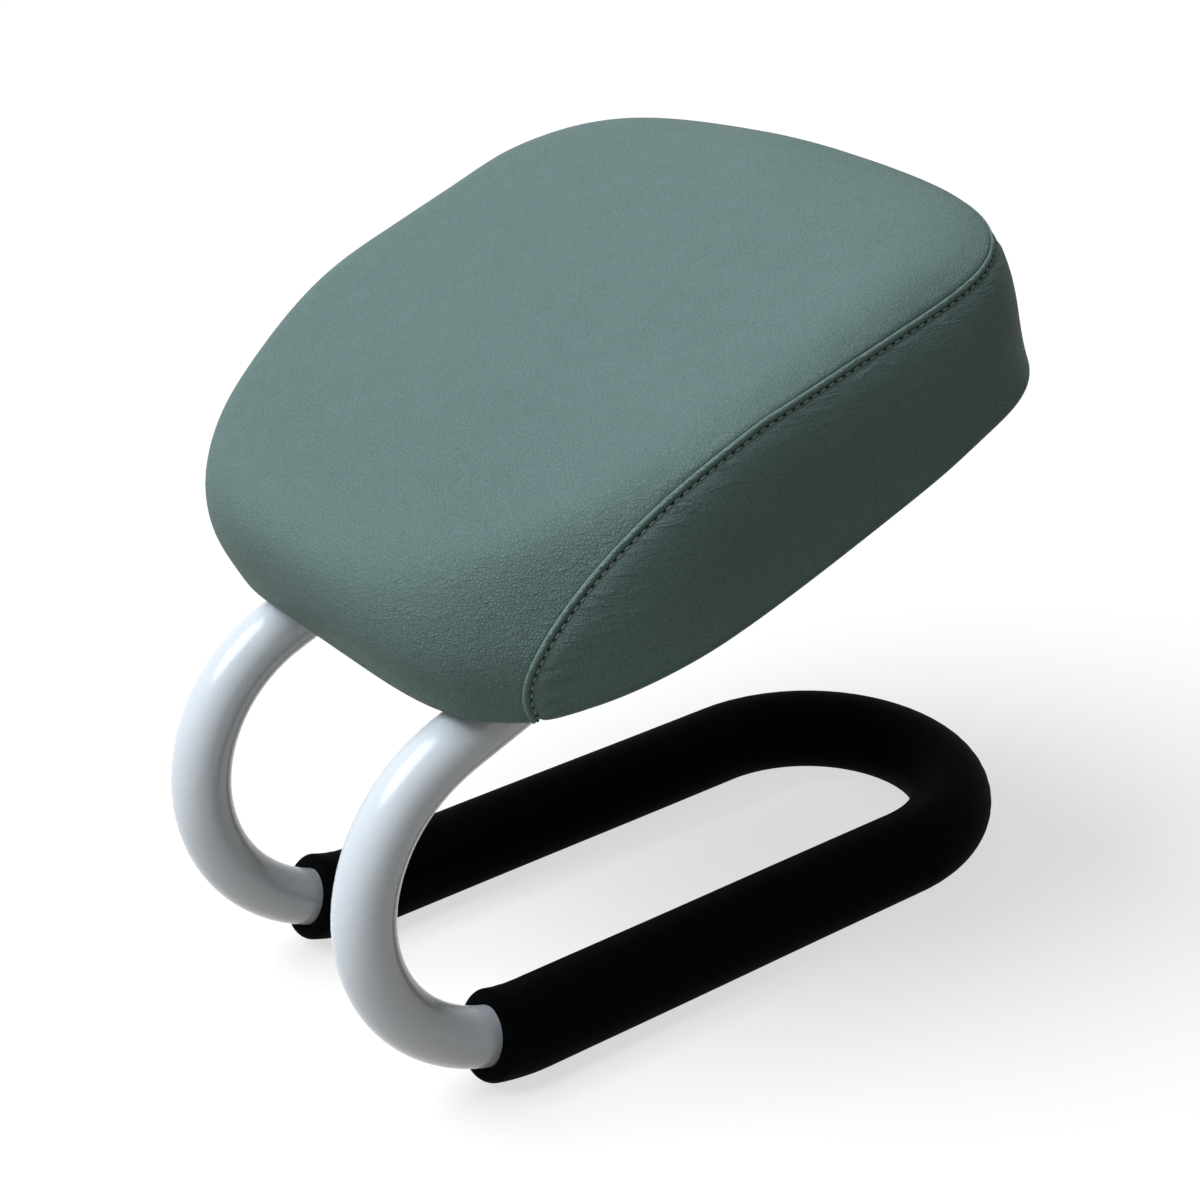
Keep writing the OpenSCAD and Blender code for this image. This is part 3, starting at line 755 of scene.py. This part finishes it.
front_turns = np.linspace(-np.pi / 2, 0, 4001)
front_ys = outline(front_turns, wall_foot)[:, 1]
climb = seam_start + seam_run * (1 - np.cos(np.linspace(0, np.pi / 2, 160)))
right_turns = np.concatenate([np.interp(climb, front_ys, front_turns),
    np.linspace(np.interp(climb[-1], front_ys, front_turns), np.pi / 2, 500)[1:]])
seam_turns = np.concatenate([right_turns, np.pi - right_turns[-2::-1]])
sections = section(seam_turns)
seam_rows = length_at_height(sections, seam_height(seam_turns)) / sections[1][:, sections[2][1]] * top_cells
upper_column, upper_row = evenly(map_column(seam_turns), seam_rows)
first_column, last_column = upper_column[0], upper_column[-1]
lower_count, swing = 31, np.linspace(1, 0, 80) ** 1.6
start_column, start_row = evenly(first_column - 6 * swing, np.linspace(END, FOOT, 80), lower_count)
end_column = last_column + first_column - start_column[-2::-1]
seam_column = np.concatenate([start_column[:-1], upper_column, end_column])
seam_row = np.concatenate([start_row[:-1], upper_row, start_row[-2::-1]])
seam = on_skin(seam_column, seam_row)
seam_run_done = distances(seam)
along_seam = unit(np.gradient(seam, axis=0))
upper = slice(lower_count - 1, lower_count - 1 + len(upper_column))
print("seam", round(seam_run_done[-1]), "mm long in", len(seam), "steps")


# %% Walk away from the seam
def walk(side, distances):
    """Rows of map places at distances from the seam: side 1 on the band, -1 on the top panel."""
    column, row = seam_column.copy(), seam_row.copy()
    heading = side * unit(np.cross(along_seam, outward(column, row)))
    done, columns, rows = 0.0, [], []

    def move(column, row, heading, length, at_column, at_row):
        round_it, out = slopes(at_column, at_row)
        g11, g12, g22 = (np.sum(a * b, -1) for a, b in ((round_it, round_it), (round_it, out), (out, out)))
        h1, h2 = np.sum(heading * round_it, -1) * length, np.sum(heading * out, -1) * length
        scale = g11 * g22 - g12 ** 2
        return column + (g22 * h1 - g12 * h2) / scale, row + (g11 * h2 - g12 * h1) / scale

    for distance in distances:
        while done < distance - 1e-9:
            length = min(0.5, distance - done)
            half = move(column, row, heading, length / 2, column, row)
            old = on_skin(column, row)
            column, row = move(column, row, heading, length, *half)
            row = np.clip(row, 0, END)
            heading = unit(on_skin(column, row) - old)
            done += length
        columns.append(column.copy())
        rows.append(row.copy())
    columns, rows = np.array(columns), np.array(rows)
    # Below the foot the seam runs straight down the map, and its rows stay level there
    first, last = upper.start, upper.stop - 1
    for low_part, at_foot in ((slice(0, first), first), (slice(last + 1, None), last)):
        reach = columns[:, at_foot] - seam_column[at_foot]
        columns[:, low_part] = seam_column[low_part] + reach[:, None]
        rows[:, low_part] = seam_row[low_part]
    return columns, rows


# %% [markdown]
# ## The folded edge, the groove and the stitch line
#
# On the real cover the band's edge is folded over and stitched down on the top panel. Across
# the seam this reads as a thin round rim a millimetre proud, a sharp groove on the top panel's
# side, and a narrow ditch on the band's side where the stitches pull the leather in. Behind the
# stitches it puffs out again, with short slanting puckers. These heights are tables of distance
# and height in millimetres, read by smooth interpolation.

# %% Heights across the seam
def smooth_table(pairs):
    """A function that runs smoothly through pairs of distance and height."""
    xs, ys = np.array(pairs, float).T
    slope = np.gradient(ys, xs)

    def value(x):
        x = np.clip(x, xs[0], xs[-1])
        cell = np.clip(np.searchsorted(xs, x, side="right") - 1, 0, len(xs) - 2)
        width = xs[cell + 1] - xs[cell]
        t = (x - xs[cell]) / width
        return ((1 + 2 * t) * (1 - t) ** 2 * ys[cell] + t * (1 - t) ** 2 * width * slope[cell]
            + t ** 2 * (3 - 2 * t) * ys[cell + 1] - t ** 2 * (1 - t) * width * slope[cell + 1])

    return value


band_height = smooth_table([(0, 0.9), (0.6, 0.8), (1.1, 0.35), (1.7, -0.3), (2.5, -0.55), (3.2, -0.3),
    (4, 0.05), (5.2, 0.32), (8, 0.45), (12, 0.32), (17, 0.1), (22, 0)])
top_height = smooth_table([(0, -0.9), (0.5, -0.4), (0.85, 0.08), (1.15, 0.24), (1.7, 0.32), (2.6, 0.3),
    (4.5, 0.17), (8, 0.07), (14, 0)])
band_steps = [0.3, 0.6, 0.9, 1.3, 1.7, 2.1, 2.5, 2.9, 3.4, 4, 4.8, 6, 7.4, 9, 11, 13.4, 16, 19, 22]
top_steps = [0.5, 0.75, 0.95, 1.15, 1.45, 1.8, 2.3, 3, 4, 5.6, 8, 11, 14]
fold_r, stitch_line, pucker_h, uneven_h = 0.92, 2.5, 0.13, 0.15
print("rim", fold_r, "mm round, stitches", stitch_line, "mm from it")


# %% Puckers and unevenness
def puckers(run, distance):
    """Slanting tension folds beside the stitches: none on the seam, strongest at 8 mm."""
    slant = run - 0.9 * distance
    wave = (np.sin(slant / 1.9 + 1.3 * np.sin(run / 23))
        + 0.7 * np.sin(slant / 1.27 + 2 * np.sin(run / 37) + 1)
        + 0.5 * np.sin(slant / 3.1 + 2.1 * np.sin(run / 51)))
    patchy = 0.55 + 0.45 * np.sin(run / 29 + 1.7 * np.sin(run / 67))
    near = ramp(distance, stitch_line, stitch_line + 3) * ramp(distance, 22, 8)
    return pucker_h * wave * patchy * near


def unevenness(point, row):
    """Slow waves of hand-stretched leather over moulded foam. The hem lies flat on the board."""
    x, y, z = (point[..., i] for i in range(3))
    waves = (np.sin(x / 31 + 0.8 * np.sin(y / 47)) + np.sin(y / 27 + z / 19 + 1.1 * np.sin(x / 53))
        + np.sin((x - y) / 41 + z / 13 + 2))
    return uneven_h * waves * ramp(row, LOW, FOOT)


def skin_point(column, row, height=0.0):
    """A point on or above the skin, with the slow unevenness of real upholstery."""
    spot = on_skin(column, row)
    return spot + outward(column, row) * np.asarray(height + unevenness(spot, row))[..., None]


# %% Points of both strips
band_column, band_row = walk(1, band_steps)
top_column, top_row = walk(-1, top_steps)
fade = np.interp(seam_row, [LOW, LOW + 20], [1, 0.15])
run = np.broadcast_to(seam_run_done, band_column.shape)
band_far = np.array(band_steps)[:, None] + 0 * run
band_strip = skin_point(band_column, band_row, fade * (band_height(band_far) + puckers(run, band_far)))
top_far = np.array(top_steps)[:, None] + 0 * top_column
top_puckers = 0.3 * puckers(run[:len(top_steps)], top_far + 3) * (1 - top_far / top_steps[-1])
top_strip = skin_point(top_column, top_row, fade * (top_height(top_far) - top_puckers))

band_out, top_out = outward(band_column[1], band_row[1]), outward(top_column[1], top_row[1])
seam_out = unit(band_out + top_out)
to_top = unit(np.cross(seam_out, along_seam))
lean = np.arccos(np.clip(np.sum(band_out * seam_out, -1), -1, 1))
seam_base = seam + seam_out * unevenness(seam, seam_row)[:, None]
fold_rows = []
for share in np.linspace(0, 1, 10):
    angle = (1 - share) * math.radians(-75) + share * (math.pi / 2 + lean)
    ring = np.cos(angle)[:, None] * to_top + np.sin(angle)[:, None] * seam_out
    fold_rows.append(seam_base + fade[:, None] * (ring * fold_r - 0.05 * seam_out))
top_edge = seam_base + seam_out * (fade * -0.9)[:, None]
print("band strip", band_strip.shape, "top strip", top_strip.shape)

# %% [markdown]
# ## The two leather panels
#
# The band is one long piece from corner to corner. The top panel also covers the low front and
# turns under the board there. Each panel is built from blocks of the map that share their edge
# points, and is then given the thickness of the leather, inwards, so its outside stays true.

# %% Meshes from blocks
# The board lies square above the arms, which leave the front bends at the seat's tilt
mid_y, bend_z, seat_tilt, board_above_bend = 103.25, 90, 21, 89
seat_place = (Matrix.Translation((0, -mid_y * MM, bend_z * MM))
    @ Matrix.Rotation(math.radians(seat_tilt), 4, "X")
    @ Matrix.Translation((0, -front_overhang * MM, board_above_bend * MM)))


def make_piece(name, finish, points, faces, place=None, merge=0.02, solid=0.0):
    """A mesh object from points in millimetres, smooth shaded, with doubled points merged."""
    mesh = bpy.data.meshes.new(name)
    mesh.from_pydata((np.asarray(points) * MM).tolist(), [], np.asarray(faces).tolist())
    work = bmesh.new()
    work.from_mesh(mesh)
    if merge:
        bmesh.ops.remove_doubles(work, verts=work.verts, dist=merge * MM)
        bmesh.ops.dissolve_degenerate(work, edges=work.edges, dist=1e-7)
    for face in work.faces:
        face.smooth = True
    if place:
        work.transform(place)
    work.to_mesh(mesh)
    work.free()
    mesh.materials.append(finish)
    piece = bpy.data.objects.new(name, mesh)
    bpy.context.scene.collection.objects.link(piece)
    if solid:
        shell = piece.modifiers.new("leather", "SOLIDIFY")
        shell.thickness, shell.offset = solid * MM, -1
    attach(piece, "root")
    print(name, len(mesh.vertices), "points,", len(mesh.polygons), "faces")
    return piece


# %% Faces of blocks
def block_faces(shape, first, flip=False, closed=False):
    """Four-sided faces of a block of rows and columns, numbered from its first point."""
    numbers = first + np.arange(shape[0] * shape[1]).reshape(shape[:2])
    if closed:
        numbers = np.concatenate([numbers, numbers[:, :1]], 1)
    a, b, c, d = numbers[:-1, :-1], numbers[:-1, 1:], numbers[1:, 1:], numbers[1:, :-1]
    corners = (a, b, c, d) if flip else (a, d, c, b)
    return np.stack(corners, -1).reshape(-1, 4)


def join_blocks(blocks):
    """Points and faces of several blocks: each is its points, a flip and whether it closes."""
    points, faces, count = [], [], 0
    for block, flip, closed in blocks:
        faces.append(block_faces(block.shape, count, flip, closed))
        points.append(block.reshape(-1, 3))
        count += block.shape[0] * block.shape[1]
    return np.concatenate(points), np.concatenate(faces)


def leather_block(left, right, count):
    """Map places between two level edges below the foot, with a count of columns."""
    share = np.linspace(0, 1, count)[None]
    (left_column, left_row), (right_column, right_row) = left, right
    return (left_column[:, None] * (1 - share) + right_column[:, None] * share,
        left_row[:, None] * (1 - share) + right_row[:, None] * share)


# %% Blocks of the band
low_first = slice(upper.start, None, -1)
low_last = slice(upper.stop - 1, None)
band_count = upper.stop - upper.start
under_column, under_row = leather_block((band_column[-1, low_first], band_row[-1, low_first]),
    (band_column[-1, low_last], band_row[-1, low_last]), band_count)
sink = np.linspace(0, 1, 22)[:, None]
side_column = band_column[-1, upper] * (1 - sink) + under_column[0] * sink
side_row = band_row[-1, upper] * (1 - sink) + under_row[0] * sink
print("band blocks", side_column.shape, under_column.shape)

# %% Blocks of the top panel
# Rings lead from the seam's outline to an even ring of the map, and from there to the crown
front_count, core_row, core_share, toward_front = 96, 150, 0.8, math.radians(8)
front_column, front_row = leather_block((top_column[-1, low_last], top_row[-1, low_last]),
    (top_column[-1, low_first] + map_columns, top_row[-1, low_first]), front_count)
loop_column = np.concatenate([top_column[-1, upper], front_column[0, 1:-1]])
loop_row = np.concatenate([top_row[-1, upper], front_row[0, 1:-1]])
turns = loop_column / map_columns * 2 * np.pi
loop = np.stack([loop_row * np.cos(turns), loop_row * np.sin(turns)], -1)
start, stop = turns[0] - toward_front, turns[band_count - 1] + toward_front
even = np.interp(np.arange(len(turns)), [0, band_count - 1, len(turns)], [start, stop, start + 2 * np.pi])
even = core_share * turns + (1 - core_share) * even
core = core_row * np.stack([np.cos(even), np.sin(even)], -1)
shares = np.linspace(0, 1, 44)[:, None, None]
rings = np.concatenate([loop * (1 - shares) + core * shares, core * np.linspace(1, 0, 16)[1:, None, None]])
ring_row = np.linalg.norm(rings, axis=-1)
ring_column = np.arctan2(rings[..., 1], rings[..., 0]) / (2 * np.pi) * map_columns
print("top blocks", ring_row.shape, front_column.shape)

# %% Where the leather is pulled
seam_finder = KDTree(len(seam))
for index, spot in enumerate(seam):
    seam_finder.insert(seat_place @ Vector(spot * MM), index)
seam_finder.balance()


def mark_strain(piece, beside_seam, reach, over_bend):
    """Writes the pull at each point, beside the seam and where the low front bends over, and a mask of
    painted highlight along the folded rim.
    """
    places = [vertex.co for vertex in piece.data.vertices]
    _, y, z = np.array([seat_place.inverted() @ place for place in places]).T / MM
    distance = np.array([seam_finder.find(place)[2] for place in places]) / MM
    bend = ramp(y, 125, 50) * np.maximum(ramp(z, 12, 46), 0.15)
    seamed = np.exp(-distance / reach) * np.maximum(ramp(z, 4, 30), 0.1)
    strain = np.minimum(0.06 + beside_seam * seamed + over_bend * bend, 1)
    # The second value is the painted highlight along the folded rim, full within 0.8 mm of the seam.
    for name, values in (("strain", strain), ("painted_rim_highlight", ramp(distance, 1.8, 0.8))):
        piece.data.attributes.new(name, "FLOAT", "POINT").data.foreach_set("value", values)
        print(piece.name, name, "from", round(values.min(), 2), "to", round(values.max(), 2))


# %% Band and top panel
band_points, band_faces = join_blocks([
    (np.concatenate([fold_rows, band_strip]), False, False),
    (np.concatenate([band_strip[-1:, upper], skin_point(side_column[1:], side_row[1:])]), False, False),
    (np.concatenate([skin_point(side_column, side_row)[-1:], skin_point(under_column[1:], under_row[1:])]),
        False, False)])
seat_band = make_piece("seat_band", band_leather, band_points, band_faces, seat_place, solid=0.9)
mark_strain(seat_band, beside_seam=0.75, reach=16, over_bend=0.15)
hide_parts("cover_band")

top_ring_points = skin_point(ring_column, ring_row)
top_ring_points[0, :band_count] = top_strip[-1, upper]
front_points = skin_point(front_column, front_row)
top_points, top_faces = join_blocks([
    (np.concatenate([top_edge[None], top_strip]), True, False),
    (top_ring_points, True, True),
    (front_points, False, False)])
seat_top = make_piece("seat_top", top_leather, top_points, top_faces, seat_place, solid=0.9)
mark_strain(seat_top, beside_seam=0.45, reach=12, over_bend=0.5)
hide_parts("cover_top")

# %% [markdown]
# ## The stitches
#
# One row of lockstitch follows the seam on the band, close under the rim. Each stitch is a short
# fat thread that rises from one needle hole and dips into the next, 4 mm on. The holes between
# stitches show as dark dots of shade on the rim's side, so each gets a flat dark cap of painted
# shade by the thread's ends, raised a little above the leather.

# %% The stitch line
stitch_pitch, stitch_half, thread_r, stitch_row = 4.0, 1.3, 0.36, band_steps.index(stitch_line)
stitch_h, stitch_sink, thread_taper, thread_flat = 0.46, 0.2, 0.35, 0.8
hole_len, hole_w, hole_dome, hole_lift, hole_shift, hole_sides = 0.88, 0.55, 0.12, 0.05, 0.35, 12
line, line_out = band_strip[stitch_row], outward(band_column[stitch_row], band_row[stitch_row])
done = distances(line)
sewn = np.interp(seam_run_done[[lower_count // 2, -1 - lower_count // 2]], seam_run_done, done)
marks = np.arange(*sewn, stitch_pitch)
sides, path = 8, np.linspace(-1, 1, 9)
ring_turns = np.arange(sides) / sides * 2 * np.pi
hole_turns = np.arange(hole_sides) / hole_sides * 2 * np.pi


def at_line(values, mark):
    """A value along the stitch line, at a distance from its start."""
    return np.array([np.interp(mark, done, values[:, axis]) for axis in range(3)])


print(len(marks), "stitches of", stitch_pitch, "mm")

# %% Sew the stitches
stitch_points, stitch_faces, hole_shade_points, hole_shade_faces = [], [], [], []
for count, mark in enumerate(marks):
    middle, out = at_line(line, mark), unit(at_line(line_out, mark))
    ahead = unit(at_line(line, mark + 0.5) - at_line(line, mark - 0.5))
    skew = random.uniform(-0.06, 0.06)
    size = random.uniform(0.93, 1.05)
    ahead = unit(ahead + skew * unit(np.cross(out, ahead)))
    across = unit(np.cross(out, ahead))
    for t in path:
        centre = middle + ahead * (t * stitch_half * size) + out * (stitch_h * (1 - t ** 4) - stitch_sink)
        ring = np.cos(ring_turns)[:, None] * across + np.sin(ring_turns)[:, None] * thread_flat * out
        stitch_points.append(centre + thread_r * size * (1 - thread_taper * t ** 6) * ring)
    stitch_faces.append(block_faces((len(path), sides), count * len(path) * sides, True, True))
    # A flat dark cap of painted shade over the needle hole, raised a little above the leather.
    gap = middle + ahead * stitch_pitch / 2 + across * hole_shift
    edge = hole_len * np.cos(hole_turns)[:, None] * ahead + hole_w * np.sin(hole_turns)[:, None] * across
    first = count * (hole_sides + 1)
    hole_shade_points += [[gap + out * hole_dome], gap + out * hole_lift + edge]
    hole_shade_faces += [(first, first + 1 + k, first + 1 + (k + 1) % hole_sides) for k in range(hole_sides)]
stitches = make_piece("stitches", thread_finish, np.concatenate(stitch_points),
    np.concatenate(stitch_faces), seat_place, merge=0)
holes = make_piece("needle_hole_shades", hole_shade_finish, np.concatenate(hole_shade_points), hole_shade_faces,
    seat_place, merge=0)

# %% [markdown]
# ## The foam under the cover
#
# The foam is a separate moulded block. It fills the cover above the board and wraps the board's
# edge. It hardly shows, but it is there when the cover is taken off the model.

# %% Where the board's edge is
def reach_of(edge, directions):
    """How far a closed outline lies from the crown's middle, in each direction."""
    out = edge - (0, crown_at)
    return np.interp(directions, np.arctan2(out[:, 1], out[:, 0]), np.linalg.norm(out, axis=1),
        period=2 * np.pi)


board_inset, board_t = 7, 12.0
core_turns = np.arange(0, map_columns, 4)
core_directions = core_turns / map_columns * 2 * np.pi
board_edge = board_outline(np.linspace(-np.pi, np.pi, 1440, endpoint=False), board_inset)
board_reach = reach_of(board_edge, core_directions)
print("board", round(np.ptp(board_edge[:, 0]), 1), "mm wide")

# %% Foam block
under_skin, above_hem = 1.35, 0.3
core_rows = np.concatenate([np.linspace(0, FOOT - 20, 47), np.linspace(FOOT, LOW - 2, 8)])
foam_column, foam_row = np.meshgrid(core_turns, core_rows)
foam_skin = on_skin(foam_column, foam_row) - under_skin * outward(foam_column, foam_row)
foam_edge = np.column_stack([board_reach * np.cos(core_directions),
    crown_at + board_reach * np.sin(core_directions), np.full(len(core_turns), board_t)])
foam_low = foam_edge * (1, 1, 0) + (0, 0, above_hem)
foam_middle = np.tile((0, crown_at, board_t), (len(core_turns), 1))
foam_points, foam_faces = join_blocks([
    (np.concatenate([foam_skin, foam_low[None], foam_edge[None], foam_middle[None]]), False, True)])
seat_foam = make_piece("seat_foam", cushion_foam, foam_points, foam_faces, seat_place)
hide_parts("foam_core")

# %% [markdown]
# ## The foam sleeve
#
# The sleeve is a thick foam tube pushed over the whole floor loop. It ends a little way up each
# front bend in a mouth whose rim is worn round, and it lies flat where it rests on the floor.
# Foam that goes round a bend is squeezed on the inside, where it shows faint rings. The piece is
# swept along the same route as the steel tube, ring by ring.

# %% The sleeve's route
sleeve_r, tube_r, loop_r, bend_r, leg_len = 19, 12.6, 67.5, 71.5, 204
loop_z, mouth_round, up_left_bend, up_right_bend = 18.5, 3.5, 30, 24


def route(s):
    """Place, direction and upward side of the tube at a distance from the middle of the loop."""
    side, far = (1 if s >= 0 else -1), abs(s)
    arc = loop_r * math.pi / 2
    if far <= arc:
        a = far / loop_r
        spot = (side * loop_r * math.sin(a), leg_len + loop_r * math.cos(a), 0)
        ahead, up = (side * math.cos(a), -math.sin(a), 0), (0, 0, 1)
    elif far <= arc + leg_len:
        spot, ahead, up = (side * loop_r, leg_len - (far - arc), 0), (0, -1, 0), (0, 0, 1)
    else:
        a = (far - arc - leg_len) / bend_r
        spot = (side * loop_r, -bend_r * math.sin(a), bend_r * (1 - math.cos(a)))
        ahead, up = (0, -math.cos(a), math.sin(a)), (0, math.sin(a), math.cos(a))
    return np.array(spot) + (0, -mid_y, loop_z), side * np.array(ahead), np.array(up)


straight = loop_r * math.pi / 2 + leg_len
mouth_left, mouth_right = -straight - up_left_bend, straight + up_right_bend
print("sleeve", round(mouth_right - mouth_left), "mm long")

# %% Rings and mouths of the sleeve
around = np.arange(80) / 80 * 2 * np.pi
ripple_h, ripple_step, waver_h = 0.14, 1.15, 0.1


def sleeve_ring(s, r, rings=0.0):
    """One ring of the sleeve. Where the foam is squeezed on the inside of a bend, it ripples."""
    spot, ahead, up = route(s)
    across = np.cross(ahead, up)
    squeezed = ripple_h * math.sin(s / ripple_step + math.sin(s / 9)) * (0.6 + 0.4 * math.sin(s / 17))
    in_front_bend, in_loop = abs(s) > straight - 8, abs(s) < loop_r * 1.7
    inner = np.clip(np.sin(around) * in_front_bend - np.cos(around) * in_loop, 0, 1) ** 2
    waver = waver_h * np.sin(3 * around + s / 40) * math.sin(s / 60)
    wide = r + rings * (squeezed * inner + waver)
    ring = spot + (wide * np.cos(around))[:, None] * across + (wide * np.sin(around))[:, None] * up
    ring[:, 2] = np.maximum(ring[:, 2], 0)
    return ring


def mouth(s, inwards):
    """Rings of one mouth from the bore over the face and the rounded rim."""
    rim = [(-6, tube_r), (-1.2, tube_r), (-0.2, tube_r + 0.5), (0, tube_r + 1.4)]
    rim += [(mouth_round * (1 - math.cos(a)), sleeve_r - mouth_round * (1 - math.sin(a)))
        for a in np.linspace(0, math.pi / 2, 7)]
    return [sleeve_ring(s + inwards * abs(depth), r) for depth, r in rim]


# %% Sweep the sleeve
sleeve_rings = mouth(mouth_left, 1)
for s in np.arange(mouth_left + 5, mouth_right - 4.5, 1.5):
    from_mouth = min(s - mouth_left, mouth_right - s)
    sleeve_rings.append(sleeve_ring(s, sleeve_r, min(1, (from_mouth - 4) / 8)))
sleeve_rings += mouth(mouth_right, -1)[::-1]
sleeve_points, sleeve_faces = join_blocks([(np.array(sleeve_rings), True, True)])
loop_sleeve = make_piece("loop_sleeve", sleeve_foam, sleeve_points, sleeve_faces, merge=0)
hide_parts("foam_sleeve")

# %% [markdown]
# ## The dust cloth
#
# A black non-woven cloth closes the underside. It is cut 17 mm smaller than the seat all round,
# with four holes for the saddles, and stapled to the board through the leather's hem. Between
# the staples it sags a little, and it puckers at each one. A triangulated flat shape with holes
# is the natural start for it, since a grid can't follow both the outline and the holes.

# %% Cut the dust cloth
cloth_inset, staple_inset, staple_count = 17, 24, 28
hole_r, hole_sides, saddle_rows, grid_step, grid_margin = 11.2, 32, (62, 202), 4.0, 2.5
cloth_edge = board_outline(np.linspace(0, 2 * np.pi, 240, endpoint=False), cloth_inset)
holes_at = np.array([(side * loop_r, row) for side in (-1, 1) for row in saddle_rows])
hole_turns = np.arange(hole_sides) / hole_sides * 2 * np.pi
hole_edges = [at + hole_r * np.column_stack([np.cos(hole_turns), -np.sin(hole_turns)]) for at in holes_at]
grid = np.array([(x, y) for i, x in enumerate(np.arange(-145, 146, grid_step))
    for y in np.arange(5 + i % 2 * grid_step / 2, 292, grid_step)])


def nearest(points, places):
    """How far each point is from the nearest of some places."""
    return np.min(np.linalg.norm(points[:, None] - places, axis=-1), 1)


out = grid - (0, crown_at)
room_inside = reach_of(cloth_edge, np.arctan2(out[:, 1], out[:, 0])) - np.linalg.norm(out, axis=1)
grid = grid[(room_inside > grid_margin) & (nearest(grid, holes_at) > hole_r + grid_margin)]
spots = [Vector(spot) for spot in np.concatenate([cloth_edge, *hole_edges, grid])]
starts = len(cloth_edge) + hole_sides * np.arange(len(holes_at) + 1)
loops = [list(range(first, last)) for first, last in zip([0, *starts[:-1]], starts)]
flat_points, _, flat_faces, *_ = delaunay_2d_cdt(spots, [], loops, 1, 1e-4)
flat_points = np.array([tuple(v) for v in flat_points])
middles = np.array([flat_points[list(face)].mean(0) for face in flat_faces])
kept = [face[::-1] for face, clear in zip(flat_faces, nearest(middles, holes_at) > hole_r * 0.97) if clear]
print("cloth", np.ptp(flat_points, axis=0).round(), "mm with", len(holes_at), "holes")

# %% Hang the dust cloth
cloth_sag, cloth_pucker, cloth_below = 0.9, 0.18, 1.65
staple_turns = np.arange(staple_count) / staple_count * 2 * np.pi
near_staple = nearest(flat_points, board_outline(staple_turns, staple_inset))
from_edge = nearest(flat_points, cloth_edge)
sag = cloth_sag * ramp(near_staple, 0, 45) ** 1.5 * ramp(from_edge, 0, 12)
ripple = np.cos(near_staple / 2.6) * np.exp(-near_staple / 9) * ramp(from_edge, 0, 5)
cloth_points = np.column_stack([flat_points, cloth_pucker * ripple - sag - cloth_below])
dust_sheet = make_piece("dust_sheet", dust_fabric, cloth_points, kept, seat_place, merge=0, solid=0.35)
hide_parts("dust_cloth")
